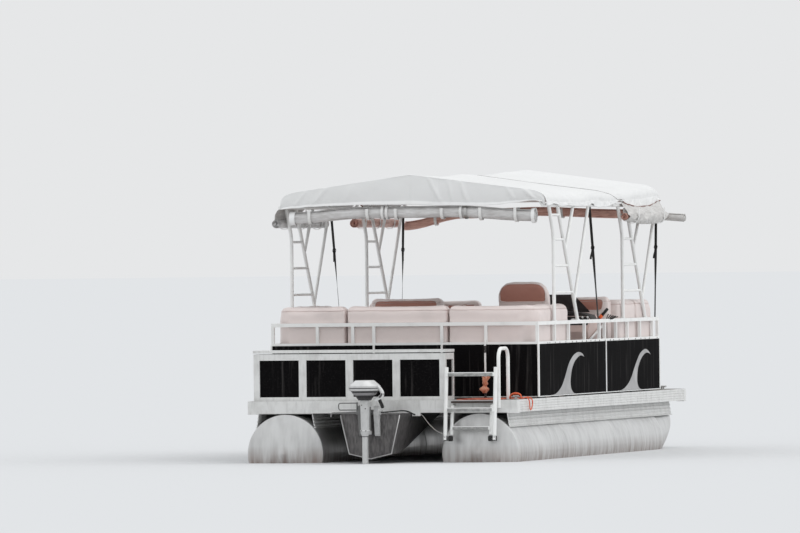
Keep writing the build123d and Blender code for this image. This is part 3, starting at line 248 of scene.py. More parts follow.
def panel_sheet(colour):
    """Near-black prepainted sheet: a dull shine, with pale runs of dried rain down its face."""
    material, tree, shader, place = blank("prepainted_sheet", colour, 0.75, {"Specular IOR Level": 0.02})
    runs = spots(tree, place, 0.030, stretch=(1, 1, 0.05), low=0.56, high=0.82, detail=5)
    dust = spots(tree, place, 0.010, low=0.56, high=0.85, detail=6)
    faint = add(tree, "ShaderNodeMath", {0: dust, 1: 0.2}, operation="MULTIPLY").outputs[0]
    marks = add(tree, "ShaderNodeMath", {0: runs, 1: 0.5, 2: faint}, operation="MULTIPLY_ADD").outputs[0]
    paint(tree, shader, colour, (marks, 1, "#5a5756"))
    emboss(tree, shader, spots(tree, place, 0.4, detail=1), 0.002, 0.3)
    return material


def deck_carpet():
    """Worn marine carpet: short grey-brown pile, drawn at 3 mm so that it shows."""
    material, tree, shader, place = blank("marine_carpet", "#6b625c", 0.95, {"Sheen Weight": 0.2})
    pile = spots(tree, place, 0.003, low=0.3, high=0.7)
    wear = spots(tree, place, 0.3)
    paint(tree, shader, "#4f4843", (pile, 1, "#7c736b"), (wear, 0.4, "#8d857d"))
    emboss(tree, shader, pile, 0.003)
    return material


def red_mat():
    """Faded red ribbed mat, with ribs 24 mm apart across the boat."""
    material, tree, shader, place = blank("ribbed_mat", "#bb5a41", 0.85)
    # A wave of scale 1 is 314 mm long
    ribs = add(tree, "ShaderNodeTexWave", {"Vector": place, "Scale": 13.263}, bands_direction="Y").outputs[1]
    fade = spots(tree, place, 0.06)
    paint(tree, shader, "#ad4a33", (fade, 1, "#cf7a60"))
    emboss(tree, shader, ribs, 0.003)
    return material


def coated_cloth(name, colour, roughness, dirt_size, dirt_looks, strength, dirt_colour):
    """White coated cloth: a plain weave under a matt coat, greyed a little in broad clouds."""
    material, tree, shader, place = blank(name, colour, roughness, {"Sheen Weight": 0.12})
    # Threads about 1 mm apart are drawn 4 mm apart so that they show
    weave = add(tree, "ShaderNodeTexChecker", {"Vector": place, "Scale": 1 / 0.004}).outputs[1]
    dirt = spots(tree, place, dirt_size, **dirt_looks)
    paint(tree, shader, colour, (dirt, strength, dirt_colour))
    emboss(tree, shader, weave, 0.0004, 0.35)
    return material


def rolled_vinyl(name, pale, shade, roughness):
    """Curtain cloth rolled up: soft plastic with long creases along the roll and a dull shine."""
    material, tree, shader, place = blank(name, pale, roughness, {"Coat Weight": 0.15})
    creases = spots(tree, place, 0.05, stretch=(0.5, 0.5, 2.2), low=0.35, high=0.7, detail=5)
    blotch = spots(tree, place, 0.14, low=0.4, high=0.7)
    paint(tree, shader, pale, (creases, 1, shade), (blotch, 0.4, shade))
    emboss(tree, shader, creases, 0.004, 0.5)
    return material


def webbing(name, colour, shade):
    """Flat woven strap: its 2 mm ribs slant and are drawn 8 mm apart along its run so that they show."""
    material, tree, shader, place = blank(name, colour, 0.8, {"Sheen Weight": 0.1})
    ribs = add(tree, "ShaderNodeTexWave", {"Vector": place, "Scale": 80},
               bands_direction="DIAGONAL").outputs[1]
    paint(tree, shader, shade, (ribs, 1, colour))
    emboss(tree, shader, ribs, 0.0006, 0.6)
    return material


def marine_vinyl(name, colour):
    """Marine vinyl over foam: a fine leather grain, a soft sheen and a little grime in clouds."""
    material, tree, shader, place = blank(name, colour, 0.46, {"Coat Weight": 0.08, "Coat Roughness": 0.4})
    # The grain's cells are 1 mm and are drawn at 4 mm so that they show
    cells = add(tree, "ShaderNodeTexVoronoi", {"Vector": place, "Scale": 1 / 0.004},
                feature="DISTANCE_TO_EDGE").outputs[0]
    grime = spots(tree, place, 0.2, low=0.5, high=0.8, detail=4)
    paint(tree, shader, colour, (grime, 0.5, darker(colour, 0.78)))
    emboss(tree, shader, cells, 0.0006, 0.4)
    return material


def moulded(name, colour, roughness, grain=0.003):
    """Moulded plastic: one even colour with a pebbled skin and a few pale scuffs."""
    material, tree, shader, place = blank(name, colour, roughness)
    scuffs = spots(tree, place, 0.05, low=0.6, high=0.85, detail=5)
    pale = [min(1.0, channel * 1.35 + 0.02) for channel in linear(colour)[:3]] + [1.0]
    paint(tree, shader, colour, (scuffs, 0.4, pale))
    emboss(tree, shader, spots(tree, place, grain), 0.0004, 0.5)
    return material


def enamel(name, colour, roughness):
    """Sprayed enamel on castings: smooth and a little chalky, with darker smears."""
    material, tree, shader, place = blank(
        name, colour, roughness, {"Coat Weight": 0.25, "Coat Roughness": 0.3})
    chalk = spots(tree, place, 0.04, low=0.45, high=0.75, detail=5)
    paint(tree, shader, colour, (chalk, 0.45, darker(colour, 0.7)))
    emboss(tree, shader, chalk, 0.0004, 0.3)
    return material


def clamp_enamel():
    """The motor's enamel on the clamp; its port plate is painted a darker grey as painted shade."""
    material, tree, shader, place = blank("clamp_enamel", "#c4c4c3", 0.45)
    side = add(tree, "ShaderNodeSeparateXYZ", {"Vector": place}).outputs[0]
    # Painted shade: past 20 mm to port the plate turns a darker grey
    port = add(tree, "ShaderNodeMapRange", {
        "Value": side, "From Min": -0.020, "From Max": -0.035}).outputs[0]
    chalk = spots(tree, place, 0.04, low=0.45, high=0.75, detail=5)
    paint(tree, shader, "#c4c4c3", (chalk, 0.45, "#8f8f8e"), (port, 1, "#757574"))
    emboss(tree, shader, chalk, 0.0004, 0.3)
    return material


def pod_paint():
    """Dark grey paint on welded sheet, made darker as painted shade for its shaded sides, chalked and scuffed
    in runs down its sides.
    """
    material, tree, shader, place = blank("pod_paint", "#565252", 0.5, {"Metallic": 0.15})
    chalk = spots(tree, place, 0.02, stretch=(1, 1, 0.3), low=0.35, high=0.7, detail=6)
    # The dark base is partly painted shade; the paler chalk runs lie over it
    paint(tree, shader, "#474444", (chalk, 1, "#6d6a69"))
    emboss(tree, shader, chalk, 0.0006, 0.5)
    return material


def steel(name, colour, roughness):
    """Stainless steel: bright metal, drawn and brushed along the boat."""
    material, tree, shader, place = blank(name, colour, roughness, {"Metallic": 1.0})
    brush = spots(tree, place, 0.002, stretch=(1, 0.1, 1), low=0.2, high=0.8)
    roughen(tree, shader, brush, roughness - 0.08, roughness + 0.1)
    emboss(tree, shader, brush, 0.0001, 0.3)
    return material


def rubber(name, colour):
    """Rubber and rubbery cord: matt, with a bloom of grey dust."""
    material, tree, shader, place = blank(name, colour, 0.7)
    bloom = spots(tree, place, 0.02, low=0.5, high=0.8, detail=5)
    paint(tree, shader, colour, (bloom, 0.5, "#4a4846"))
    emboss(tree, shader, bloom, 0.0003, 0.4)
    return material


def braided_rope(colour):
    """Orange braided rope: strands drawn as small knots, faded in places."""
    material, tree, shader, place = blank("braided_rope", colour, 0.75, {"Sheen Weight": 0.3})
    fade = spots(tree, place, 0.015, low=0.4, high=0.7)
    strands = spots(tree, place, 0.0035, low=0.3, high=0.7, detail=1)
    paint(tree, shader, "#d94a1a", (strands, 1, colour), (fade, 0.6, "#f08050"))
    emboss(tree, shader, strands, 0.002)
    return material


def film():
    """Grey adhesive film on the sheets: matt, clouded, with small darker specks."""
    material, tree, shader, place = blank("grey_film", "#a8a7a7", 0.5, {"Specular IOR Level": 0.25})
    fade = spots(tree, place, 0.2, low=0.4, high=0.7)
    specks = spots(tree, place, 0.01, low=0.6, high=0.9, detail=6)
    paint(tree, shader, "#a09f9f", (fade, 1, "#b6b5b5"), (specks, 0.4, "#8a8887"))
    emboss(tree, shader, specks, 0.0002, 0.3)
    return material


def rag():
    """An old orange rag: fuzzy, faded and stained."""
    material, tree, shader, place = blank("orange_rag", "#f0a582", 0.9, {"Sheen Weight": 0.3})
    stains = spots(tree, place, 0.02, low=0.4, high=0.7, detail=5)
    paint(tree, shader, "#f5b393", (stains, 1, "#d9744c"))
    emboss(tree, shader, spots(tree, place, 0.004), 0.002)
    return material


def smoked_acrylic():
    """Smoked acrylic: very dark brown, smooth and glossy, wiped unevenly."""
    material, tree, shader, place = blank("smoked_acrylic", "#1d1314", 0.08, {"Coat Weight": 0.5})
    roughen(tree, shader, spots(tree, place, 0.2, low=0.4, high=0.8), 0.05, 0.2)
    return material


def finishes():
    """Every finish on the boat, by name; made once and shared."""
    colours = bpy.context.scene.boat_colours
    return {
        "mill_aluminium": mill_aluminium(),
        "powder_coat": powder_coat(colours.frame),
        "weathered_coat": weathered_coat(),
        "panel_sheet": panel_sheet(colours.panel),
        "deck_carpet": deck_carpet(),
        "red_mat": red_mat(),
        "canopy_cloth": coated_cloth("coated_cloth", colours.canopy, 0.72, 0.45, {
            "stretch": (1, 0.5, 1), "low": 0.4, "high": 0.85, "detail": 4}, 0.16, "#bdbbb9"),
        # The hem cloth is lighter, partly as doubled cloth and partly painted light where the hem catches the
        # light; the roll's white collars use it too
        "pale_hem_with_painted_light": coated_cloth("hem_cloth", "#efefee", 0.65, 0.1, {
            "low": 0.5, "high": 0.8, "detail": 5}, 0.3, "#cbc9c7"),
        "pale_roll": rolled_vinyl("pale_roll", "#d9d8d7", "#b7b4b2", 0.36),
        "tan_roll": rolled_vinyl("tan_roll", "#e0b2a3", "#bd8b7d", 0.5),
        "bundle": rolled_vinyl("bundled_cloth", "#cfcdca", "#b9b6b3", 0.6),
        "webbing": webbing("white_webbing", "#f0f0ee", "#d6d4d2"),
        "black_webbing": webbing("black_webbing", "#161414", "#0b0a0a"),
        "vinyl": marine_vinyl("beige_vinyl", colours.vinyl),
        "insert": marine_vinyl("brown_vinyl", colours.insert),
        # A lighter copy of the brown insert: painted light, for inserts that lie in shade
        "insert_painted_lighter": marine_vinyl("tan_vinyl", "#c9a297"),
        "clamp": clamp_enamel(),
        "moulded_base": moulded("rotomoulded_base", "#c4b0a9", 0.6),
        "console": moulded("console_gelcoat", "#cfb8b1", 0.35, 0.002),
        "dash": moulded("dash_panel", "#171010", 0.55, 0.002),
        "knob": moulded("white_knob", "#e9e8e6", 0.3, 0.002),
        "tip": moulded("orange_grip", "#e8622c", 0.5, 0.002),
        "smoked": smoked_acrylic(),
        # The pod's dark finish is partly painted shade
        "pod": pod_paint(),
        "motor": enamel("motor_enamel", "#c4c4c3", 0.4),
        "swivel": enamel("swivel_enamel", "#6f6f6e", 0.5),
        "motor_dark": moulded("motor_pan", "#2c2a2b", 0.5),
        "rubber": rubber("black_rubber", "#151414"),
        "stainless": steel("stainless", "#b9b8b6", 0.3),
        "bare_rim": steel("bare_rim", "#bdbcbb", 0.42),
        "propeller": enamel("propeller_paint", "#1c1c1d", 0.35),
        "tread": rubber("tread_rubber", "#3b302c"),
        "rope": braided_rope(colours.rope),
        "line": webbing("white_line", "#d2cfcb", "#a8a5a0"),
        "stripe": film(),
        "screw": steel("dark_screw", "#4a4644", 0.5),
        "boot": rubber("cable_boot", "#3b3736"),
        "cowl_pale": enamel("cowl_band_pale", "#dcdcdb", 0.35),
        "cowl_line": moulded("cowl_line", "#5a5859", 0.5),
        # A paler grey for the pan's bulge: painted highlight
        "pan_bulge": moulded("pan_bulge", "#8a8889", 0.45),
        "rag": rag(),
        "hem_cord": rubber("hem_cord", "#7d5248"),
        "tread_plate": tread_metal(),
        "zip": rubber("zip_teeth", "#8f8c8a"),
        "seam": marine_vinyl("seam_vinyl", "#c2aca6"),
    }


FINISH = {}

# Which finish each CAD node takes
NODE_FINISH = {
    "mill_aluminium": ["pontoons", "cross_members"],
    "weathered_coat": ["risers", "deck_edges", "corner_caps", "locker_frame", "locker_lid"],
    "powder_coat": [
        "side_fences", "end_fences", "bow_gate_frame", "port_gate_frame", "stern_masts", "bow_masts",
        "roof_frames", "ladder_fixed", "ladder_folding", "handrail"],
    "panel_sheet": ["fence_sheets", "bow_gate_sheet", "port_gate_sheet", "locker_sheets"],
    "deck_carpet": ["deck_floor"],
    "red_mat": ["deck_mat"],
    "canopy_cloth": ["stern_canopy", "bow_canopy"],
    "webbing": ["curtain_straps"],
    "black_webbing": ["black_stays"],
    "moulded_base": ["seat_bases"],
    "vinyl": ["seat_cushions", "seat_backs", "helm_chair"],
    "pale_roll": ["stern_curtain"],
    "tan_roll": ["bow_curtain", "side_curtains"],
    "console": ["helm_console"],
    "smoked": ["windscreen"],
    "rubber": ["steering_wheel", "fence_feet", "ladder_hinges", "motor_cable"],
    "stainless": ["chair_pedestal", "cleats"],
    "pod": ["motor_pod"],
    "swivel": ["motor_swivel"],
    "clamp": ["motor_clamp"],
    "motor": ["motor_leg", "gearcase", "motor_cowl"],
    "motor_dark": ["cowl_pan"],
    "propeller": ["propeller"],
    "tread": ["ladder_tread"],
    "rope": ["rope_hank", "rope_bight"],
    "line": ["thin_line"],
}


# Mesh tools

def linked(name, data):
    """A new object that holds the data, in the scene."""
    made = bpy.data.objects.new(name, data)
    bpy.context.scene.collection.objects.link(made)
    return made


def piece(name, points, faces, finish, body="hull", smooth=True):
    """A mesh object made of points in the frame's metres, which moves with a body."""
    mesh = bpy.data.meshes.new(name)
    mesh.from_pydata([tuple(point) for point in points], [], faces)
    mesh.materials.append(FINISH[finish])
    if smooth:
        mesh.shade_smooth()
    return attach(linked(name, mesh), body)


def grid(columns, rows, place, ring=False):
    """A grid of quads: place(column, row) gives each point; a ring joins the last column to the first."""
    wide = columns if ring else columns + 1
    points = [place(i, j) for j in range(rows + 1) for i in range(wide)]
    faces = []
    for j in range(rows):
        for i in range(columns):
            right = (i + 1) % wide
            faces.append((j * wide + i, j * wide + right, (j + 1) * wide + right, (j + 1) * wide + i))
    return points, faces


def settle(made):
    """Turns the object's evaluated shape into its plain mesh and drops its modifiers."""
    graph = bpy.context.evaluated_depsgraph_get()
    graph.update()
    mesh = bpy.data.meshes.new_from_object(made.evaluated_get(graph))
    made.modifiers.clear()
    made.data = mesh
    return made


def thicken(made, thickness, offset=-1.0):
    """Gives a sheet its thickness."""
    wall = made.modifiers.new("wall", "SOLIDIFY")
    wall.thickness = thickness
    wall.offset = offset
    return settle(made)


def face_out(made):
    """Points the faces of a closed mesh outwards."""
    shape = bmesh.new()
    shape.from_mesh(made.data)
    bmesh.ops.remove_doubles(shape, verts=shape.verts, dist=1e-6)
    bmesh.ops.recalc_face_normals(shape, faces=shape.faces)
    shape.to_mesh(made.data)
    shape.free()
    return made


def full_turn(steps):
    """The angles of a full turn in equal steps."""
    return [2 * math.pi * step / steps for step in range(steps)]


def circle(centre, radius, across, up, steps):
    """Points round a centre, in the plane of two directions."""
    return [centre + radius * (across * math.cos(a) + up * math.sin(a)) for a in full_turn(steps)]


def tube(name, points, radius, finish, body="hull", sides=10, closed=False):
    """A round bar through points, with flat ends."""
    points = [Vector(point) for point in points]
    count = len(points)
    rings = []
    up = Vector((0, 0, 1))
    for index, point in enumerate(points):
        before = points[index - 1] if closed or index else point
        after = points[(index + 1) % count] if closed or index + 1 < count else point
        ahead = (after - before).normalized()
        side = ahead.cross(up)
        side = side.normalized() if side.length > 0.05 else ahead.cross(Vector((1, 0, 0))).normalized()
        rings.append(circle(point, radius, side, side.cross(ahead), sides))
    vertices = [place for ring in rings for place in ring]
    faces = []
    for index in range(count if closed else count - 1):
        low = index * sides
        high = (index + 1) % count * sides
        for step in range(sides):
            right = (step + 1) % sides
            faces.append((low + step, low + right, high + right, high + step))
    if not closed:
        faces.append(tuple(range(sides))[::-1])
        faces.append(tuple((count - 1) * sides + step for step in range(sides)))
    return face_out(piece(name, vertices, faces, finish, body))


# Operators

class AddFinishes(bpy.types.Operator):
    """Makes every material and gives the solids theirs"""

    bl_idname = "boat.add_finishes"
    bl_label = "Finishes"

    def execute(self, context):
        FINISH.update(finishes())
        for finish, nodes in NODE_FINISH.items():
            for node in nodes:
                solid = frame["nodes"][node]
                solid.data.materials.clear()
                solid.data.materials.append(FINISH[finish])
        return {"FINISHED"}


class AddStage(bpy.types.Operator):
    """Adds the camera, the pale floor at the waterline and soft lamps"""

    bl_idname = "boat.add_stage"
    bl_label = "Stage"

    # The photograph's view: eye, heading and roll, then focal length and horizon in its pixels
    eye = Vector((24.18, -89.74, 1.864))
    heading = math.radians(15.586)
    roll = 0.01075
    focal = 10335.5
    photo_width = 800
    photo_middle = (400, 266.5)
    horizon = (380.09, 248.59)

    def execute(self, context):
        self.add_camera(context)
        self.add_floor()
        self.add_light(context)
        return {"FINISHED"}

    def add_camera(self, context):
        """A long lens turned to the middle of the picture."""
        ahead = Vector((-math.sin(self.heading), math.cos(self.heading), 0))
        aside = Vector((math.cos(self.heading), math.sin(self.heading), 0))
        up = Vector((0, 0, 1))
        right = self.photo_middle[0] - self.horizon[0]
        down = self.photo_middle[1] - self.horizon[1]
        across = math.cos(self.roll) * right - math.sin(self.roll) * down
        below = math.sin(self.roll) * right + math.cos(self.roll) * down
        aim = (ahead + aside * across / self.focal - up * below / self.focal).normalized()
        side = math.cos(self.roll) * aside - math.sin(self.roll) * up
        side = (side - aim * side.dot(aim)).normalized()
        top = side.cross(aim)
        turn = Matrix((side, top, -aim)).transposed()
        data = bpy.data.cameras.new("photo_camera")
        data.sensor_width = 36
        data.lens = self.focal * data.sensor_width / self.photo_width
        data.clip_start = 1
        data.clip_end = 1000
        camera = linked("photo_camera", data)
        camera.matrix_world = Matrix.Translation(self.eye) @ turn.to_4x4()
        context.scene.camera = camera

    def add_floor(self):
        """A wide pale floor at the waterline."""
        half = 600
        corners = [(-half, -half, 0), (half, -half, 0), (half, half, 0), (-half, half, 0)]
        mesh = bpy.data.meshes.new("floor")
        mesh.from_pydata(corners, [], [(0, 1, 2, 3)])
        linked("floor", mesh)
        mesh.materials.append(blank("pale_floor", "#d7d8d9", 1.0, {"Specular IOR Level": 0.0})[0])

    def add_light(self, context):
        """An overcast sky: an even pale world and one very soft sun."""
        world = bpy.data.worlds.new("studio")
        context.scene.world = world
        world.use_nodes = True
        tree = world.node_tree
        tree.nodes.clear()
        seen = add(tree, "ShaderNodeLightPath")
        light = add(tree, "ShaderNodeBackground", {"Color": linear("#f5f7f9"), "Strength": 0.97})
        backdrop = add(tree, "ShaderNodeBackground", {"Color": linear("#e6e7e8"), "Strength": 1.0})
        picked = add(tree, "ShaderNodeMixShader", {0: seen.outputs["Is Camera Ray"], 1: light.outputs[0],
                                                   2: backdrop.outputs[0]})
        add(tree, "ShaderNodeOutputWorld", {"Surface": picked.outputs[0]})
        # A very soft sun, high to starboard, as through thin cloud
        data = bpy.data.lights.new("veiled_sun", "SUN")
        data.energy = 0.85
        data.angle = math.radians(60)
        lamp = linked("veiled_sun", data)
        lamp.rotation_euler = Vector((-0.55, -0.12, -1)).to_track_quat("-Z", "Y").to_euler()


class AddCords(bpy.types.Operator):
    """Adds the motor's cable, the thin line and the orange rope on the stern cleat"""

    bl_idname = "boat.add_cords"
    bl_label = "Cords"

    # Routes in millimetres, as on the boat
    cable = [
        (107, -415, -95), (140, -415, -95), (182, -392, -91), (222, -340, -87), (250, -276, -84),
        (268, -208, -87), (283, -142, -97), (295, -88, -111), (299, -48, -120), (300, -14.5, -122)]
    line = [
        (349.2, -4, -124), (363, -5, -126), (381, -13, -144), (410, -30, -180), (452, -48, -222),
        (500, -66, -260), (550, -82, -284), (596, -92, -292), (636.2, -97, -289)]
    bight = [
        (1200, 239.5, 9), (1200, 260, 9), (1206, 284, 15), (1222, 300, 17), (1237, 315, 5),
        (1242, 328, -17), (1240, 346, -54), (1235, 376, -92), (1235, 412, -95), (1237, 435, -69),
        (1240, 442, -38), (1240, 443, -13), (1228, 438, 8), (1207, 430, 18), (1184, 418, 14),
        (1170, 396, 8), (1165, 364, 7), (1153, 332, 7), (1132, 306, 7), (1110, 278, 7),
        (1101, 245, 8), (1100, 217, 9)]

    def execute(self, context):
        cable = self.spline("dressed_cable", self.cable, 0.012, "rubber")
        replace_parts(cable, "motor_cable")
        line = self.spline("dressed_line", self.line, 0.005, "line")
        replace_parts(line, "thin_line")
        rope = self.spline("dressed_rope", self.bight, 0.010, "rope")
        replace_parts(rope, "rope_bight")
        self.rope_turns()
        return {"FINISHED"}

    def rope_turns(self):
        """Three turns of rope thrown over the cleat, each a little different."""
        turns = []
        for turn in range(3):
            aside, high = 0.0105 * (turn - 1), 0.046 + 0.005 * math.sin(2.2 * turn)
            line = []
            for step in range(25):
                angle = math.pi * step / 24
                line.append(at(
                    1.150 - (0.050 + 0.004 * math.sin(3 * turn)) * math.cos(angle),
                    0.2125 + aside + 0.010 * math.sin(angle + 1.3 * turn) * 0.6 - 0.006 * math.cos(angle),
                    0.006 + high * math.sin(angle) ** 0.6))
            made = tube(f"rope_turn_{turn}", line, 0.0056, "rope", "hull", 10)
            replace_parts(made, "rope_hank")
            turns.append(made)
        return turns

    def spline(self, name, route, diameter, finish):
        """One smooth round cord along a route."""
        curve = bpy.data.curves.new(name, "CURVE")
        curve.dimensions = "3D"
        strand = curve.splines.new("NURBS")
        strand.points.add(len(route) - 1)
        for point, (x, y, z) in zip(strand.points, route):
            point.co = (*at(x / 1000, y / 1000, z / 1000), 1)
        strand.order_u = 3
        strand.use_endpoint_u = True
        strand.resolution_u = 12
        curve.bevel_depth = diameter / 2
        curve.bevel_resolution = 3
        curve.use_fill_caps = True
        curve.materials.append(FINISH[finish])
        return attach(linked(name, curve), "hull")


def along(table, y):
    """The value of a (place, value) table at a place, eased between its rows."""
    if y <= table[0][0]:
        return table[0][1]
    for (y0, v0), (y1, v1) in zip(table, table[1:]):
        if y <= y1:
            share = (y - y0) / (y1 - y0)
            share = share * share * (3 - 2 * share)
            return v0 + (v1 - v0) * share
    return table[-1][1]


def rounded(share):
    """A share from 0 to 1, eased at both ends and held outside."""
    share = max(0.0, min(1.0, share))
    return share * share * (3 - 2 * share)


def mark_faces(made, finish, chosen):
    """Gives a second finish to the faces whose number is chosen."""
    made.data.materials.append(FINISH[finish])
    slot = len(made.data.materials) - 1
    for face in made.data.polygons:
        if chosen(face.index):
            face.material_index = slot


class AddCanopy(bpy.types.Operator):
    """Adds the two cloth tops with their end panels, hems, welts and the zip over their joint"""

    bl_idname = "boat.add_canopy"
    bl_label = "Canopy"

    # Ridge and hem heights above the deck, by distance from the stern
    stern_ridge = [(0.985, 1.970), (1.5, 1.960), (2.150, 1.956), (2.740, 1.982), (3.440, 1.972)]
    bow_ridge = [
        (3.30, 1.970), (3.8, 1.980), (4.3, 2.008), (5.08, 2.030), (5.19, 2.012), (5.228, 1.985)]
    stern_hem = [
        (0.985, 1.690), (1.116, 1.690), (1.284, 1.708), (1.549, 1.681), (1.819, 1.690), (2.155, 1.682),
        (2.529, 1.685), (2.634, 1.708), (2.840, 1.673), (3.115, 1.677), (3.395, 1.699), (3.700, 1.742)]
    bow_hem = [
        (3.300, 1.762), (3.700, 1.728), (3.956, 1.700), (4.128, 1.687), (4.306, 1.680), (4.664, 1.687),
        (4.949, 1.706), (5.112, 1.727), (5.228, 1.738)]
    # Where the bows of the roof frames stand
    stern_bows = [0.985, 1.520, 2.077, 2.614, 3.440]
    bow_bows = [3.30, 3.980, 4.537, 5.100, 5.228]
    # Half the cloth's width, and its two ends
    side = 1.226
    stern_end = 0.985
    bow_end = 5.228
    # Columns across a top, and how many of them on each side are the hem
    columns = 132
    band = 6
    # Folds in the stern panel: x at the top, x at the foot, width, depth
    stern_folds = [
        (0.174, 0.300, 0.018, 0.017), (0.235, 0.262, 0.014, 0.010), (0.351, 0.400, 0.016, 0.011),
        (0.465, 0.535, 0.016, 0.014), (0.890, 0.960, 0.020, 0.012), (1.050, 1.150, 0.025, 0.018),
        (-0.520, -0.600, 0.030, 0.006), (-0.760, -0.900, 0.024, 0.014), (-0.950, -1.060, 0.020, 0.012)]
    bow_folds = [(-0.5, -0.56, 0.03, 0.010), (0.3, 0.36, 0.02, 0.010), (0.7, 0.62, 0.02, 0.008)]
    # Where the panels end below: x, height
    stern_foot = [
        (-1.226, 1.676), (-1.044, 1.688), (-0.908, 1.698), (-0.677, 1.705), (-0.426, 1.710),
        (0.013, 1.707), (0.261, 1.697), (0.644, 1.692), (0.783, 1.697), (0.957, 1.716), (1.130, 1.732),
        (1.200, 1.724), (1.226, 1.700)]
    bow_foot = [(-1.226, 1.738), (-0.9, 1.725), (0, 1.735), (0.9, 1.725), (1.226, 1.738)]

    def execute(self, context):
        self.sizes = context.scene.boat_sizes
        stern = self.top("stern_top", self.stern_ridge, self.stern_hem, self.stern_bows, self.stern_edges)
        bow = self.top("bow_top", self.bow_ridge, self.bow_hem, self.bow_bows, self.bow_edges)
        panel = self.end_panel(
            "stern_panel", self.stern_end, -1, self.stern_ridge[0][1], self.stern_folds, self.stern_foot)
        front = self.end_panel(
            "bow_panel", self.bow_end, 1, self.bow_ridge[-1][1], self.bow_folds, self.bow_foot)
        for made, node, flat, area in (
                (stern, "stern_canopy", (3.0, 2.5), None), (panel, "stern_canopy", (2.45, 0.30), 0.52),
                (bow, "bow_canopy", (3.0, 1.75), None), (front, "bow_canopy", (2.45, 0.30), 0.52)):
            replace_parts(made, node)
        self.welts()
        return {"FINISHED"}

    def half_width(self, across, y):
        """Half the top's width: narrower at the bow, and on port where the stern panel draws it in."""
        narrow = 0.024 * rounded((y - 4.5) / 0.7)
        if across < 0:
            narrow += 0.045 * (1 - rounded((y - self.stern_end) / 0.8))
        return self.side - narrow

    def outline(self, share, ridge, hem, side):
        """Half the top's cross-section: share 0 is the ridge, 1 the hem; gives x and height."""
        shoulder_x, shoulder_z = side - 0.150, ridge - 0.140
        wall_z = ridge - 0.232
        if share < 0.70:
            part = share / 0.70
            return shoulder_x * part, ridge + (shoulder_z - ridge) * part
        if share < 0.88:
            part = (share - 0.70) / 0.18
            knee_x, knee_z = side - 0.008, shoulder_z - 0.020
            x = (1 - part) ** 2 * shoulder_x + 2 * part * (1 - part) * knee_x + part ** 2 * side
            z = (1 - part) ** 2 * shoulder_z + 2 * part * (1 - part) * knee_z + part ** 2 * wall_z
            return x, z
        part = (share - 0.88) / 0.12
        return side, wall_z + (hem - wall_z) * part

    def slack(self, bows, y):
        """0 on a bow, 1 midway between two."""
        for low, high in zip(bows, bows[1:]):
            if low <= y <= high:
                return math.sin(math.pi * (y - low) / (high - low)) ** 0.8
        return 0.0

    def joint(self, share):
        """Where the two tops meet: straight over the roof, swept to the bow at the hem."""
        return 3.30 + 0.42 * rounded((share - 0.72) / 0.28)

    def stern_edges(self, share):
        """The two ends of the stern top at a share of its half width."""
        return self.stern_end, self.joint(share)

    def bow_edges(self, share):
        """The two ends of the bow top, which starts a small gap behind the joint."""
        return self.joint(share) + 0.003 + 0.018 * rounded((share - 0.74) / 0.2), self.bow_end

    def place(self, across, y, ridge_table, hem_table, bows):
        """A point of a top: draped over its bows, creased where it is loose."""
        share = abs(across)
        ridge = along(ridge_table, y)
        x, z = self.outline(share, ridge, along(hem_table, y), self.half_width(across, y))
        slack = self.slack(bows, y)
        crease = noise.noise(Vector((across * 4, y * 9, 1.7))) * 0.6
        crease += noise.noise(Vector((across * 15 + y * 6, y * 19, 4.1))) * 0.5
        z -= self.sizes.sag * slack * min(1, share * 2.5) * (1 if share < 0.8 else 0.2)
        loose = max(0, share - 0.66) / 0.34
        gathers = math.sin(y * 95 + 3 * math.sin(y * 17)) * max(0, share - 0.84) / 0.16
        x += 0.015 * crease * loose * (0.45 + slack) + 0.0022 * gathers
        z += 0.006 * crease * loose * slack
        if across > 0:
            x += 0.022 * math.exp(-(y - self.stern_end) / 0.16) * loose
        if share > 1 - 2 * self.band / self.columns:
            x += 0.003
        return at(math.copysign(x, across), y, z)

    def top(self, name, ridge_table, hem_table, bows, edges):
        """One cloth top between its two edges, with a doubled hem on both sides."""
        rows = 124

        def spot(i, j):
            across = 2 * i / self.columns - 1
            start, end = edges(abs(across))
            return self.place(across, start + (end - start) * j / rows, ridge_table, hem_table, bows)

        points, faces = grid(self.columns, rows, spot)
        made = piece(name, points, [face[::-1] for face in faces], "canopy_cloth")
        last = self.columns - self.band
        # The hem bands take the lighter hem cloth: doubled cloth, and painted light
        mark_faces(made, "pale_hem_with_painted_light", lambda face: not self.band <= face % self.columns < last)
        return thicken(made, self.sizes.cloth)

    def end_panel(self, name, end, out, ridge, folds, foot_line):
        """The cloth across one end under the first bow, with its centre seam, folds and doubled hem."""
        columns, rows = 240, 30
        hem_rows = 4

        def spot(i, j):
            across = 2 * i / columns - 1
            x, top = self.outline(abs(across), ridge, 1.69, self.half_width(across, end))
            x = math.copysign(x, across)
            foot = min(along(foot_line, x), top - 0.004)
            down = j / rows
            z = top + (foot - top) * down
            fade = math.sin(math.pi * min(1, down * 1.1)) ** 0.5
            push = 0.0
            for head, toe, width, depth in folds:
                centre = head + (toe - head) * down
                push += depth * math.exp(-((x - centre) / width) ** 2) * fade
            push += 0.005 * noise.noise(Vector((x * 5, down * 1.5, 0.3)))
            push += 0.004 * noise.noise(Vector((x * 30, down * 3, 2.3))) * down * min(1, abs(x))
            push += 0.010 * math.sin(math.pi * down) * (1 - abs(across)) ** 0.3
            # The centre seam
            push -= 0.003 * math.exp(-(x / 0.006) ** 2)
            if j > rows - hem_rows:
                push += 0.004 + 0.010 * (j - rows + hem_rows) / hem_rows
            return at(x, end + out * push, z)

        points, faces = grid(columns, rows, spot)
        if out > 0:
            faces = [face[::-1] for face in faces]
        made = piece(name, points, faces, "canopy_cloth")
        # The hem rows take the lighter hem cloth: doubled cloth, and painted light
        mark_faces(made, "pale_hem_with_painted_light", lambda face: face // columns >= rows - hem_rows)
        return thicken(made, self.sizes.cloth)

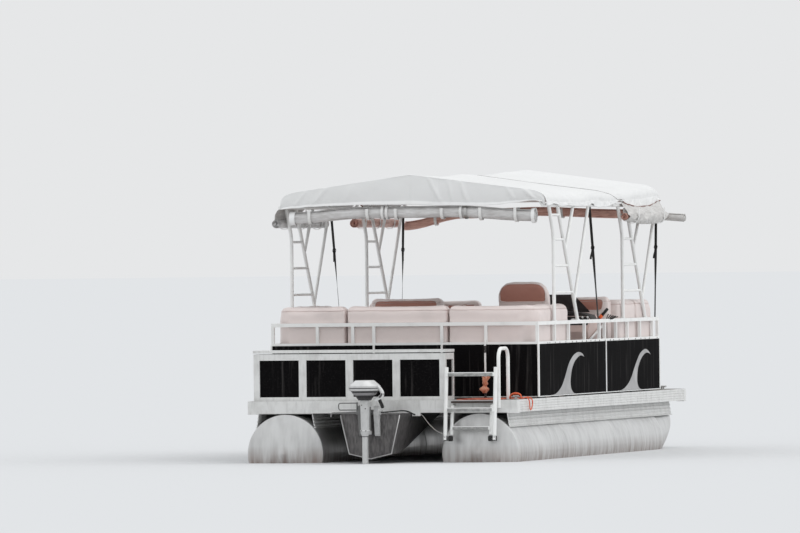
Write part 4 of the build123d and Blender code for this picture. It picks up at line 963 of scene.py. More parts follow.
    def welts(self):
        """The sewn cords: round the stern gable, over the joint's zip and along the bow top's hems."""
        steps = 90
        places = [2 * step / steps - 1 for step in range(steps + 1)]
        stern = self.stern_ridge, self.stern_hem, self.stern_bows
        gable = [self.place(across, self.stern_end, *stern) for across in places]
        tube("gable_welt", gable, 0.0045, "pale_hem_with_painted_light")
        above = Vector((0, 0, 0.001))
        zip_line = [self.place(across, self.joint(abs(across)) + 0.006, *stern) + above for across in places]
        tube("joint_zip", zip_line, 0.0035, "zip")
        bow = self.bow_ridge, self.bow_hem, self.bow_bows
        start = self.joint(1) + 0.02
        hem_places = [start + (self.bow_end - start) * step / 59 for step in range(60)]
        for side, name in ((1, "starboard_hem_cord"), (-1, "port_hem_cord")):
            outside = Vector((side * 0.003, 0, 0))
            tube(name, [self.place(side, y, *bow) + outside for y in hem_places], 0.0045, "hem_cord")


class AddCurtains(bpy.types.Operator):
    """Adds the rolled curtains as spirals of cloth, the stern roll's bands and the loose cloth over rolls"""

    bl_idname = "boat.add_curtains"
    bl_label = "Curtains"

    # Lines of the two cross rolls: x, height above the deck; then their distances from the stern
    stern_line = [(-1.100, 1.598), (-0.420, 1.640), (0.380, 1.642), (1.135, 1.600)]
    bow_line = [(-1.200, 1.529), (-0.640, 1.632), (0.060, 1.648), (0.860, 1.618), (1.240, 1.602)]
    stern_place = 1.030
    bow_place = 5.168
    stern_radius = 0.0575
    # Side rolls: name, side, start, end, height, radius, finish
    side_rolls = [
        ("port_aft_roll", -1, 1.110, 2.690, 1.552, 0.046, "pale_roll"),
        ("port_bow_roll", -1, 3.650, 5.100, 1.556, 0.046, "tan_roll")]
    side_place = 1.217
    # The starboard bundle: distance from the stern, height of its foot; then its radius
    bundle_foot = [
        (3.690, 1.549), (3.875, 1.541), (4.229, 1.524), (4.583, 1.524), (4.944, 1.541), (5.130, 1.562)]
    bundle_thick = [
        (3.690, 0.038), (3.875, 0.047), (4.229, 0.058), (4.583, 0.058), (4.944, 0.049), (5.130, 0.042)]

    def execute(self, context):
        lengthwise, crosswise = (0, 1, 0), (1, 0, 0)
        stern = self.roll(
            "stern_roll", lambda s: self.on_line(self.stern_line, self.stern_place, s), lengthwise,
            self.stern_radius, 2.24, "pale_roll", 7, 0.35)
        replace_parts(stern, "stern_curtain")
        bow = self.roll(
            "bow_roll", lambda s: self.on_line(self.bow_line, self.bow_place, s), lengthwise,
            0.046, 2.44, "tan_roll", 5, 0.6)
        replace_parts(bow, "bow_curtain")
        start = at(1.235, self.bow_place, 1.592)
        end = at(1.452, self.bow_place, 1.574)
        tail = self.roll(
            "bow_roll_tail", lambda s: start.lerp(end, s), lengthwise, 0.040, 0.22, "bundle", 3, 1.6)
        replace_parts(tail, "bow_curtain")
        for name, side, start_y, end_y, height, radius, finish in self.side_rolls:
            x = side * (self.side_place + radius)
            made = self.roll(
                name, lambda s: at(x, start_y + (end_y - start_y) * s, height), crosswise,
                radius - 0.001, end_y - start_y, finish, len(name), 0.8)
            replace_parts(made, "side_curtains")
        self.bundle()
        self.flap()
        self.straps()
        return {"FINISHED"}

    def on_line(self, line, y, share):
        """A place along a cross roll."""
        x = line[0][0] + (line[-1][0] - line[0][0]) * share
        return at(x, y, along(line, x))

    def roll(self, name, line, aside, radius, length, finish, seed, slackness=1.0):
        """A sheet wound in a spiral round a line, its turns a little loose and its ends uneven.

        The direction aside and the upright span the spiral; the seed moves its noise.
        """
        turns = 5.2
        core = radius * 0.12
        steps = int(turns * 20)
        stations = max(10, int(length / 0.026))
        aside = Vector(aside)
        up = Vector((0, 0, 1))

        def spot(i, j):
            share = i / steps
            run = j / stations
            angle = 2 * math.pi * turns * share + 0.9
            wobble = noise.noise(Vector((run * length * 7, math.cos(angle), math.sin(angle) + seed)))
            crease = noise.noise(Vector((run * length * 22, angle * 0.8, seed)))
            reach = core + (radius - 0.002 - core) * share
            reach *= 1 + slackness * (0.045 * wobble + 0.025 * crease) * share - 0.03 * share
            ahead = line(min(1, run + 0.01)) - line(max(0, run - 0.01))
            slip = 0.008 * math.sin(angle * 0.7 + seed) * (1 if run > 0.5 else -1) * abs(2 * run - 1) ** 8
            spoke = aside * math.cos(angle) + up * math.sin(angle)
            return line(run) + ahead.normalized() * slip + reach * spoke

        points, faces = grid(steps, stations, spot)
        made = piece(name, points, faces, finish)
        thicken(made, 0.003, 0.0)
        return made

    def bundle(self):
        """The starboard curtain: rolled loosely, with its upper part hanging crumpled over the roll."""
        first, last = self.bundle_foot[0][0], self.bundle_foot[-1][0]

        def centre(y):
            """The roll's middle and radius at a place."""
            radius = along(self.bundle_thick, y)
            return self.side_place + 0.004 + radius, along(self.bundle_foot, y) + radius, radius

        def line(share):
            y = first + (last - first) * share
            x, z, _ = centre(y)
            return at(x, y, z)

        core = self.roll("starboard_roll", line, (1, 0, 0), 0.036, last - first, "tan_roll", 9, 0.9)
        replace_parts(core, "side_curtains")
        columns, rows = 130, 34

        def spot(i, j):
            y = first + 0.012 + (last - first - 0.02) * i / columns
            down = j / rows
            x, z, radius = centre(y)
            top = Vector((self.side_place + 0.006, 0, along(AddCanopy.bow_hem, y) + 0.004))
            if down < 0.35:
                start = Vector((x + radius * math.cos(1.15), 0, z + radius * math.sin(1.15)))
                spot_at = top.lerp(start, down / 0.35)
            else:
                angle = 1.15 - (down - 0.35) / 0.65 * 3.3
                spot_at = Vector((x + radius * math.cos(angle), 0, z + radius * math.sin(angle)))
            wrinkle = noise.noise(Vector((y * 6 + down * 3, down * 4, 2.2))) * 0.8
            wrinkle += noise.noise(Vector((y * 15 - down * 6, down * 6, 6.2))) * 0.3
            ridge = abs(noise.noise(Vector((y * 10 + down * 5, down * 3, 9.2))))
            push = 0.022 * wrinkle - 0.018 * ridge + 0.010
            push *= min(1, down * 5)
            return at(spot_at.x + push, y, spot_at.z + 0.3 * push * (1 - 2 * down))

        points, faces = grid(columns, rows, spot)
        made = piece("starboard_bundle", points, [face[::-1] for face in faces], "bundle")
        thicken(made, 0.002)
        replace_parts(made, "side_curtains")

    def flap(self):
        """The port aft curtain's upper part, from the hem out to its roll."""
        columns, rows = 60, 16
        start, end = 1.010, 1.900

        def spot(i, j):
            y = start + (end - start) * i / columns
            down = j / rows
            hem = along(AddCanopy.stern_hem, y)
            x = -1.196 - 0.020 * rounded((y - start) / 0.6) - 0.050 * math.sin(down * math.pi / 2)
            z = hem - 0.006 + (1.596 - hem) * down ** 1.3
            ripple = noise.noise(Vector((y * 16, down * 2.5, 3.3)))
            push = 0.010 * ripple * math.sin(math.pi * min(1, down * 1.1)) + 0.004 * math.sin(math.pi * down)
            return at(x - push, y, z)

        points, faces = grid(columns, rows, spot)
        made = piece("port_flap", points, faces, "bundle")
        thicken(made, 0.002, 0.0)
        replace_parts(made, "side_curtains")

    def straps(self):
        """Flat bands round the stern roll beside the solids' straps, one a buckle, and its white collars."""
        # Place across, width, finish, how far it stands off the roll
        bands = [
            (-1.080, 0.050, "pale_hem_with_painted_light", 0.003), (-0.255, 0.022, "webbing", 0.004),
            (-0.215, 0.022, "webbing", 0.004), (0.460, 0.024, "webbing", 0.004),
            (0.505, 0.022, "stainless", 0.005), (1.118, 0.030, "pale_hem_with_painted_light", 0.009)]
        wide = 40
        for number, (x, width, finish, off) in enumerate(bands):
            centre = at(x, self.stern_place, along(self.stern_line, x))
            radius = self.stern_radius + off

            def spot(i, j):
                angle = 2 * math.pi * i / wide
                step = (j % 2 - 0.5) * width
                reach = radius if j < 2 else radius - 0.003
                step = step if j < 2 else -step
                return centre + Vector((step, reach * math.cos(angle), reach * math.sin(angle)))

            points, faces = grid(wide, 3, spot, ring=True)
            faces += [(3 * wide + i, 3 * wide + (i + 1) % wide, (i + 1) % wide, i) for i in range(wide)]
            face_out(piece(f"stern_band_{number}", points, faces, finish, smooth=False))


class AddSeats(bpy.types.Operator):
    """Adds each cushion and back as a pad stuffed by simulation, with its piping, seams and brown inserts"""

    bl_idname = "boat.add_seats"
    bl_label = "Seats"

    # Node, name of its pads, body, voxel for the skin
    sources = [
        ("seat_cushions", "cushion", "hull", 0.022), ("seat_backs", "back", "hull", 0.0195),
        ("helm_chair", "chair_pad", "helm_chair", 0.0155)]

    def execute(self, context):
        self.sizes = context.scene.boat_sizes
        pads = []
        for node, name, body, voxel in self.sources:
            for number, shape in enumerate(self.lumps(frame["nodes"][node])):
                made = self.skin(shape, f"{name}_{number}", voxel)
                pads.append((made, node, body, self.extent(shape[0])))
        self.stuff([pad[0] for pad in pads])
        for made, node, body, room in pads:
            self.finish_pad(made, node, body, room)
        return {"FINISHED"}

    def lumps(self, source):
        """The separate solids of a node, each as a closed mesh."""
        whole = bmesh.new()
        whole.from_mesh(source.data)
        bmesh.ops.remove_doubles(whole, verts=whole.verts, dist=1e-5)
        whole.verts.ensure_lookup_table()
        seen = set()
        shapes = []
        for start in whole.verts:
            if start.index in seen:
                continue
            group, edge = {start.index}, [start]
            while edge:
                for link in edge.pop().link_edges:
                    for other in link.verts:
                        if other.index not in group:
                            group.add(other.index)
                            edge.append(other)
            seen |= group
            order = {index: place for place, index in enumerate(sorted(group))}
            points = [whole.verts[index].co.copy() for index in sorted(group)]
            faces = [[order[vertex.index] for vertex in face.verts] for face in whole.faces
                     if face.verts[0].index in group]
            shapes.append((points, faces))
        whole.free()
        return shapes

    def skin(self, shape, name, voxel):
        """An even skin over a solid, drawn in a little so that the stuffing has room."""
        points, faces = shape
        mesh = bpy.data.meshes.new(name)
        mesh.from_pydata([self.square_up(point) for point in points], [], faces)
        mesh.materials.append(FINISH["vinyl"])
        made = linked(name, mesh)
        remesh = made.modifiers.new("even", "REMESH")
        remesh.mode = "VOXEL"
        remesh.voxel_size = voxel
        settle(made)
        shrink = self.sizes.swell * 0.75
        moves = [(vertex, vertex.normal * shrink) for vertex in made.data.vertices]
        for vertex, move in moves:
            vertex.co -= move
        return made

    def square_up(self, point):
        """The port stern corner is squarer than its solid: points on its arc move outwards."""
        centre = at(-1.053, 1.141, 0)
        x, y = point.x - centre.x, point.y - centre.y
        if x < 0 and y < 0:
            reach = max(-x, -y)
            grow = min(1.6, (math.hypot(x, y) / reach) ** 0.75)
            return Vector((centre.x + x * grow, centre.y + y * grow, point.z))
        return point

    def stuff(self, pads):
        """Swells every skin by cloth simulation and limits how far each point moves."""
        rests = []
        for made in pads:
            rests.append([vertex.co.copy() for vertex in made.data.vertices])
            cloth = made.modifiers.new("stuffing", "CLOTH")
            cloth.settings.use_pressure = True
            cloth.settings.uniform_pressure_force = 4
            cloth.settings.effector_weights.gravity = 0
            cloth.settings.quality = 4
            cloth.collision_settings.use_collision = False
            cloth.point_cache.frame_start = 1
            cloth.point_cache.frame_end = 20
        scene = bpy.context.scene
        for step in range(1, 21):
            scene.frame_set(step)
        for made, rest in zip(pads, rests):
            settle(made)
            for vertex, start in zip(made.data.vertices, rest):
                move = vertex.co - start
                if move.length > self.sizes.swell:
                    vertex.co = start + move.normalized() * self.sizes.swell
        scene.frame_set(1)

    def finish_pad(self, made, node, body, room):
        """Smooths and divides a pad, fits it to its solid's room and sews its seams, piping and inserts."""
        soften = made.modifiers.new("soften", "SMOOTH")
        soften.factor = 0.5
        soften.iterations = 3
        divide = made.modifiers.new("divide", "SUBSURF")
        divide.levels = 1
        divide.render_levels = 1
        settle(made)
        made.data.materials.append(FINISH["insert"])
        made.data.shade_smooth()
        low, high = room
        now_low, now_high = self.extent([vertex.co for vertex in made.data.vertices])
        places = []
        for vertex in made.data.vertices:
            places.extend(low[axis] + (vertex.co[axis] - now_low[axis]) * (high[axis] - low[axis])
                          / (now_high[axis] - now_low[axis]) for axis in range(3))
        made.data.vertices.foreach_set("co", places)
        made.data.update()
        if node == "helm_chair":
            self.sew_chair(made)
        elif node == "seat_cushions":
            edge = high.z - 0.030
            self.sew(made, body, lambda spot, out: spot.z > edge, None)
        else:
            edge = high.z - 0.042
            self.sew(made, body, lambda spot, out: spot.z > edge, None, "seam", 0.0018)
            self.sew_back(made, low, high)
        skin = [(vertex.co.copy(), vertex.normal.copy()) for vertex in made.data.vertices]
        places = []
        for spot, out in skin:
            places.extend(spot + out * (0.0016 * noise.noise(spot * 9) + 0.0008 * noise.noise(spot * 31)))
        made.data.vertices.foreach_set("co", places)
        made.data.update()
        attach(made, body)
        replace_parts(made, node)

    def extent(self, points):
        """The lowest and highest corner of a set of points."""
        return (Vector([min(point[axis] for point in points) for axis in range(3)]),
                Vector([max(point[axis] for point in points) for axis in range(3)]))

    def sew_back(self, made, low, high):
        """An insert on each face that a sitter leans on, and behind the bow lounges' aft backs."""
        top, foot = high.z - 0.040, at(0, 0, 0.462).z
        aft_lounge = abs(low.y - at(0, 3.620, 0).y) < 0.04
        for axis, sign, low_end, high_end in self.leaning_faces(low, high, aft_lounge):
            other = 1 - axis
            sternward = aft_lounge and sign < 0
            start = high.z - 0.125 if sternward else foot
            stop = high.z - 0.024 if sternward else top

            def chosen(spot, out):
                if out[axis] * sign < (0.55 if sternward else 0.8) or not start < spot.z < stop:
                    return False
                return low_end + 0.045 < spot[other] < high_end - 0.045

            # The lighter insert named for the starboard bow backs is the copy painted light
            starboard_bow = low.y > at(0, 3.4, 0).y and high.x > 0.4
            self.sew(made, "hull", chosen, "insert_painted_lighter" if starboard_bow else "insert")

    def leaning_faces(self, low, high, aft_lounge):
        """Which way each back faces: axis, sign, and the run's two ends on the other axis."""
        wide, deep = high.x - low.x, high.y - low.y
        thick = 0.165
        if aft_lounge:
            return [(1, -1, low.x, high.x), (1, 1, low.x, high.x)]
        if wide < 0.21:
            return [(0, -1 if low.x > 0 else 1, low.y, high.y)]
        if deep < 0.21:
            return [(1, 1, low.x, high.x)]
        side = 1 if low.x > 0 else -1
        run = (low.x, high.x - thick) if side > 0 else (low.x + thick, high.x)
        if low.y < at(0, 3, 0).y:
            return [(1, 1, *run), (0, -side, low.y + thick, high.y)]
        return [(1, -1, *run), (0, -side, low.y, high.y - thick)]

    def sew_chair(self, made):
        """The chair's back has a brown panel behind and before; a seam follows the seat's front part."""
        waist, top, right, left = at(0, 0, 0.838).z, at(0, 0, 1.008).z, 0.938, 0.520
        shoulder = at(0, 0, 0.935).z

        def behind(spot, out):
            if out.y > -0.72 or not waist < spot.z < top:
                return False
            cut = max(0, spot.z - shoulder) ** 2 * 16
            return left + cut < spot.x < right - cut

        def before(spot, out):
            return out.y > 0.8 and at(0, 0, 0.56).z < spot.z < top - 0.02 and 0.565 < spot.x < 0.905

        self.sew(made, "helm_chair", behind, "insert")
        self.sew(made, "helm_chair", before, "insert")
        low, high = at(0.52, 2.20, 0.500), at(0.98, 2.66, 0.560)

        def seat(spot, out):
            return low.z < spot.z < high.z and spot.y > low.y + 0.13 and out.z > 0.3

        self.sew(made, "helm_chair", seat, None)

    def sew(self, made, body, chosen, finish, cord="vinyl", radius=None):
        """Gives chosen faces a finish and runs a cord round their border, drawn smooth and pulled in."""
        radius = radius or self.sizes.piping
        mesh = made.data
        inside = [chosen(face.center, face.normal) for face in mesh.polygons]
        if not any(inside):
            return
        if finish:
            for face, picked in zip(mesh.polygons, inside):
                if picked:
                    face.material_index = 1
        sides = {}
        for face, picked in zip(mesh.polygons, inside):
            for pair in face.edge_keys:
                sides.setdefault(pair, []).append(picked)
        ties = {}
        for (first, second), picked in sides.items():
            if len(picked) == 2 and picked[0] != picked[1]:
                ties.setdefault(first, []).append(second)
                ties.setdefault(second, []).append(first)
        used = set()
        count = 0
        for start in list(ties):
            if start in used or len(ties[start]) != 2:
                continue
            loop, previous, here = [start], None, start
            used.add(start)
            while True:
                ahead = [index for index in ties[here] if index != previous and index not in used]
                if not ahead:
                    break
                previous, here = here, ahead[0]
                used.add(here)
                loop.append(here)
            if len(loop) < 16 or loop[0] not in ties[loop[-1]]:
                continue
            places = [mesh.vertices[index].co.copy() for index in loop]
            size = len(loop)
            for _ in range(14):
                places = [(places[step - 1] + 2 * places[step] + places[(step + 1) % size]) / 4
                          for step in range(size)]
            outs = [mesh.vertices[index].normal.copy() for index in loop]
            for index, place, out in zip(loop, places, outs):
                mesh.vertices[index].co = place - out * 0.002
            mesh.update()
            line = [place + out * (radius * 0.25) for place, out in zip(places, outs)]
            kind = "cord" if cord == "vinyl" else "seam"
            tube(f"{made.name}_{kind}_{len(bpy.data.objects)}_{count}", line[::2], radius, cord, body,
                 sides=6, closed=True)
            count += 1


def rounded_loop(half, front, back, corner, z, per_corner=7):
    """A rounded rectangle at one height: half its width, its front and back, its corners' radius."""
    points = []
    for centre_x, centre_y, start in (
            (half - corner, front - corner, 0), (-half + corner, front - corner, 90),
            (-half + corner, back + corner, 180), (half - corner, back + corner, 270)):
        for step in range(per_corner):
            angle = math.radians(start + 90 * step / (per_corner - 1))
            points.append(at(centre_x + corner * math.cos(angle), centre_y + corner * math.sin(angle), z))
    return points


def stacked(name, loops, finish, body="hull"):
    """A closed skin through loops of equally many points, capped at both ends."""
    wide = len(loops[0])
    points = [point for loop in loops for point in loop]
    faces = [tuple(range(wide)), tuple((len(loops) - 1) * wide + step for step in range(wide))]
    for low in range(0, (len(loops) - 1) * wide, wide):
        for step in range(wide):
            right = (step + 1) % wide
            faces.append((low + step, low + right, low + wide + right, low + wide + step))
    return face_out(piece(name, points, faces, finish, body, smooth=False))


def soft_edges(made, degrees=35):
    """Smooth shading except across sharp edges."""
    made.data.shade_smooth()
    made.data.set_sharp_from_angle(angle=math.radians(degrees))
    return made


class AddMotorTrim(bpy.types.Operator):
    """Adds the motor's banded cover, pan, leg and yokes, the cable's bracket and boot, and the pod's rim"""

    bl_idname = "boat.add_motor_trim"
    bl_label = "Motor trim"

    # Cover levels: height, half width, front, back, corner; each run of levels in its own finish
    cover = [
        ("cowl_pale", [(0.184, 0.050, -0.450, -0.650, 0.045), (0.1845, 0.066, -0.434, -0.666, 0.058),
                       (0.182, 0.0695, -0.431, -0.669, 0.060), (0.158, 0.098, -0.408, -0.692, 0.084),
                       (0.139, 0.119, -0.391, -0.709, 0.100), (0.1365, 0.1205, -0.390, -0.710, 0.101)]),
        ("motor", [(0.1365, 0.1205, -0.390, -0.710, 0.101), (0.1355, 0.1250, -0.386, -0.712, 0.106),
                   (0.1220, 0.1260, -0.385, -0.713, 0.107), (0.1210, 0.1215, -0.389, -0.709, 0.103)]),
        ("cowl_line", [(0.1210, 0.1215, -0.389, -0.709, 0.103), (0.1130, 0.1215, -0.389, -0.709, 0.103)]),
        ("motor", [(0.1130, 0.1215, -0.389, -0.709, 0.103), (0.1120, 0.1255, -0.385, -0.713, 0.107),
                   (0.1000, 0.1230, -0.387, -0.711, 0.105), (0.0940, 0.1150, -0.395, -0.703, 0.098)]),
    ]
    # The pan: a shadow gap, a bulge painted paler as a painted highlight, and a dark foot; height, half
    # width, front, back, corner
    pan = [
        ("motor_dark", [(0.0935, 0.1080, -0.402, -0.694, 0.092), (0.0780, 0.0960, -0.416, -0.684, 0.082)]),
        ("pan_bulge", [(0.0780, 0.0920, -0.420, -0.680, 0.078), (0.0730, 0.0935, -0.418, -0.680, 0.080),
                       (0.0620, 0.0860, -0.430, -0.670, 0.074), (0.0550, 0.0770, -0.438, -0.660, 0.066)]),
        ("motor_dark", [(0.0550, 0.0740, -0.440, -0.658, 0.064), (0.0400, 0.0620, -0.455, -0.645, 0.054),
                        (0.0390, 0.0650, -0.452, -0.648, 0.057), (0.0240, 0.0530, -0.464, -0.636, 0.047),
                        (0.0120, 0.0450, -0.472, -0.628, 0.040)]),
    ]
    # The leg: its finish, then height, half width, half depth
    leg = [
        ("motor", [(0.0125, 0.0400, 0.056), (-0.040, 0.0395, 0.054), (-0.120, 0.0375, 0.050),
                   (-0.244, 0.0360, 0.047)]),
        ("cowl_pale", [(-0.244, 0.0390, 0.051), (-0.246, 0.0410, 0.053), (-0.252, 0.0410, 0.053),
                       (-0.254, 0.039, 0.051)]),
        ("motor", [(-0.254, 0.0385, 0.050), (-0.274, 0.0375, 0.049), (-0.300, 0.0250, 0.037)]),
        ("motor_dark", [(-0.300, 0.0262, 0.039), (-0.305, 0.0262, 0.039)])]
    # The cable's bracket and boot: x, height; then the pod's bare rim: x, distance from the stern
    bracket = [
        (0.104, 0.128), (0.130, 0.118), (0.150, 0.092), (0.158, 0.070), (0.154, 0.052), (0.134, 0.036),
        (0.104, 0.020), (0.088, 0.014)]
    hose = [(0.118, 0.040), (0.127, 0.016), (0.137, -0.012), (0.144, -0.036), (0.148, -0.052)]
    boot_line = [(0.0, 0.118), (0.25, 0.127), (0.5, 0.136), (0.75, 0.143), (1.0, 0.148)]
    rim = [(-0.266, -0.120), (-0.190, -0.455), (0.0, -0.500), (0.190, -0.455), (0.266, -0.120)]
    bracket_y = -0.545
    leg_y = -0.550

    def execute(self, context):
        for node, bands in (("motor_cowl", self.cover), ("cowl_pan", self.pan)):
            for number, (finish, levels) in enumerate(bands):
                loops = [rounded_loop(*sizes, z) for z, *sizes in levels]
                made = soft_edges(stacked(f"{node}_band_{number}", loops, finish, "outboard"))
                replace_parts(made, node)
        for number, (finish, levels) in enumerate(self.leg):
            loops = [[at(half * math.cos(a), self.leg_y + deep * math.sin(a), z) for a in full_turn(36)]
                     for z, half, deep in levels]
            made = soft_edges(stacked(f"leg_length_{number}", loops, finish, "outboard"), 25)
            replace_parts(made, "motor_leg")
        self.yokes()
        self.cable_end()
        tube("pod_rim", [at(x, -0.3875, z) for x, z in self.rim], 0.0058, "bare_rim", "hull", 8)
        return {"FINISHED"}

    def cable_end(self):
        """The cable's bracket on the leg with its inset, and the boot with its ribs."""
        depth = self.bracket_y
        outer = self.smoothed([at(x, depth, z) for x, z in self.bracket])
        tube("cable_bracket", outer, 0.0170, "cowl_pale", "outboard", 16)
        inner = self.smoothed([at(x - 0.002, depth - 0.013, z) for x, z in self.bracket[3:6]])
        tube("bracket_inset", inner, 0.0085, "cowl_line", "outboard", 10)
        boot = self.smoothed([at(x, depth + 0.010 * k, z) for k, (x, z) in enumerate(self.hose)])
        tube("cable_boot", boot, 0.0145, "rubber", "outboard", 14)
        for step in range(7):
            share = 0.25 + 0.1 * step
            middle = at(along(self.boot_line, share), depth + 0.04 * share, 0.040 - 0.092 * share)
            ring = circle(middle, 0.0160, Vector((1, 0, 0)), Vector((0, 1, 0)), 16)
            tube(f"boot_rib_{step}", ring, 0.0022, "rubber", "outboard", 6, closed=True)

    def yokes(self):
        """The leg's two steering yokes with their pin, and the bolts of its collar and head."""
        for name, low, high in (("upper_yoke", -0.046, -0.008), ("lower_yoke", -0.286, -0.254)):
            loops = [rounded_loop(0.024 - cut, -0.402 - cut, -0.530 + cut, 0.020, z)
                     for z, cut in ((low, 0.003), (low + 0.003, 0), (high - 0.003, 0), (high, 0.003))]
            soft_edges(stacked(name, loops, "motor", "outboard"))
        pin = [at(0, -0.422, -0.280), at(0, -0.422, -0.010)]
        tube("steering_pin", pin, 0.012, "stainless", "outboard", 16)
        bolts = ((-0.020, -0.251), (0.020, -0.251), (-0.015, -0.030), (0.018, -0.060))
        for number, (x, z) in enumerate(bolts):
            y = self.leg_y - (0.053 if z < -0.2 else 0.055) * math.sqrt(1 - (x / 0.041) ** 2)
            ends = [at(x, y + 0.004, z), at(x, y - 0.003, z)]
            tube(f"leg_bolt_{number}", ends, 0.0045, "screw", "outboard", 8)

    def smoothed(self, points):
        """A finer run through points, its corners eased."""
        for _ in range(2):
            finer = [points[0]]
            for before, after in zip(points, points[1:]):
                finer += [before.lerp(after, 0.25), before.lerp(after, 0.75)]
            points = finer + [points[-1]]
        return points


class AddFenceTrim(bpy.types.Operator):
    """Adds the sheets' stripes, the rails' screws, the stays' straps, and the rag on the thin rod"""

    bl_idname = "boat.add_fence_trim"
    bl_label = "Fence trim"

    # Curved tapered stripes, from foot to tip and back: distance from the stern, height
    stern_wave = [
        (1.152, 0.021), (1.341, 0.032), (1.533, 0.091), (1.671, 0.184), (1.769, 0.269), (1.867, 0.325),
        (1.984, 0.367), (2.119, 0.387), (2.215, 0.383), (2.292, 0.368), (2.337, 0.343), (2.272, 0.354),
        (2.195, 0.355), (2.078, 0.332), (1.981, 0.295), (1.902, 0.238), (1.861, 0.172), (1.847, 0.115),
        (1.875, 0.066), (1.950, 0.030), (2.030, 0.021)]
    bow_wave = [
        (3.507, 0.021), (3.706, 0.028), (3.907, 0.073), (4.050, 0.139), (4.154, 0.216), (4.257, 0.284),
        (4.360, 0.342), (4.483, 0.375), (4.584, 0.385), (4.685, 0.367), (4.764, 0.332), (4.684, 0.349),
        (4.583, 0.349), (4.480, 0.325), (4.378, 0.282), (4.294, 0.215), (4.259, 0.136), (4.268, 0.077),
        (4.326, 0.036), (4.410, 0.021)]
    # Screws under the sheets' edge: distances from the stern on the sides, places across on the ends
    side_screws = [
        1.08, 1.15, 1.34, 1.50, 1.71, 1.94, 2.09, 2.29, 2.44, 2.60, 2.75, 2.91, 3.11, 3.30, 3.42, 3.62,
        3.82, 3.96, 4.22, 4.42, 4.58, 4.74, 5.03]
    stern_screws = [
        -1.195, -1.170, -0.934, -0.678, -0.436, -0.375, -0.142, 0.077, 0.376, 0.581, 0.775, 0.947,
        1.021, 1.141]
    bow_screws = [-1.15, -0.92, -0.70, -0.52, 0.30, 0.52, 0.74, 0.95, 1.16]
    screw_z = 0.481

    def execute(self, context):
        self.sizes = context.scene.boat_sizes
        self.stripe("starboard_stern_stripe", self.stern_wave, 1, 0)
        self.stripe("starboard_bow_stripe", self.bow_wave, 1, 0)
        self.stripe("port_stripe", self.bow_wave, -1, -0.86)
        self.screws()
        self.stay_straps()
        self.rag_on_rod()
        return {"FINISHED"}

    def stripe(self, name, outline, side, shift):
        """One stripe of film, 0.5 mm thick, between its two smooth edges."""
        tip = max(range(len(outline)), key=lambda index: outline[index][0])
        rising = self.even(self.curved(outline[:tip + 1]), 70)
        falling = self.even(self.curved(outline[tip:])[::-1], 70)

        def spot(i, j):
            (y0, z0), (y1, z1) = rising[j], falling[j]
            return at(side * 1.2194, y0 + (y1 - y0) * i / 4 + shift, z0 + (z1 - z0) * i / 4)

        points, faces = grid(4, 69, spot)
        face_out(thicken(piece(name, points, faces, "stripe", smooth=False), 0.0005, 0.0))

    def even(self, line, count):
        """The same line with its points the same distance apart."""
        reach = [0.0]
        for before, after in zip(line, line[1:]):
            reach.append(reach[-1] + math.dist(before, after))
        evened, step = [], 0
        for number in range(count):
            goal = reach[-1] * number / (count - 1)
            while step < len(line) - 2 and reach[step + 1] < goal:
                step += 1
            span = reach[step + 1] - reach[step] or 1
            share = min(1, (goal - reach[step]) / span)
            before, after = line[step], line[step + 1]
            evened.append(tuple(before[k] + (after[k] - before[k]) * share for k in range(2)))
        return evened

    def curved(self, points):
        """A smooth run through points, four steps to each of them."""
        ends = [points[0]] + list(points) + [points[-1]]
        out = []
        for a, b, c, d in zip(ends, ends[1:], ends[2:], ends[3:]):
            for step in range(4):
                t = step / 4
                out.append(tuple(
                    0.5 * (2 * b[k] + (c[k] - a[k]) * t + (2 * a[k] - 5 * b[k] + 4 * c[k] - d[k]) * t * t
                           + (3 * b[k] - a[k] - 3 * c[k] + d[k]) * t ** 3) for k in range(2)))
        return out + [points[-1]]

    def screw_tree(self):
        """Geometry Nodes that set a screw head on each point: a low dome on a washer, turned to its face."""
        tree = bpy.data.node_groups.new("screw_heads", "GeometryNodeTree")
        new_socket = tree.interface.new_socket
        new_socket("Geometry", in_out="INPUT", socket_type="NodeSocketGeometry")
        radius = new_socket("Head radius", in_out="INPUT", socket_type="NodeSocketFloat")
        radius.default_value = self.sizes.screw
        new_socket("Turn", in_out="INPUT", socket_type="NodeSocketRotation")
        new_socket("Geometry", in_out="OUTPUT", socket_type="NodeSocketGeometry")
        start = add(tree, "NodeGroupInput")
        head = add(tree, "GeometryNodeMeshUVSphere", {
            "Segments": 10, "Rings": 6, "Radius": start.outputs["Head radius"]})
        flat = add(tree, "GeometryNodeTransform", {
            "Geometry": head.outputs["Mesh"], "Scale": (1, 1, 0.42)})
        washer = add(tree, "GeometryNodeMeshCone", {
            "Vertices": 12, "Radius Top": 0.0068, "Radius Bottom": 0.0074, "Depth": 0.0012})
        joined = add(tree, "GeometryNodeJoinGeometry")
        tree.links.new(flat.outputs[0], joined.inputs[0])
        tree.links.new(washer.outputs["Mesh"], joined.inputs[0])
        placed = add(tree, "GeometryNodeInstanceOnPoints", {
            "Points": start.outputs["Geometry"], "Instance": joined.outputs[0],
            "Rotation": start.outputs["Turn"]})
        real = add(tree, "GeometryNodeRealizeInstances", {"Geometry": placed.outputs[0]})
        finished = add(tree, "GeometryNodeSetMaterial", {
            "Geometry": real.outputs[0], "Material": FINISH["screw"]})
        add(tree, "NodeGroupOutput", {0: finished.outputs[0]})
        return tree

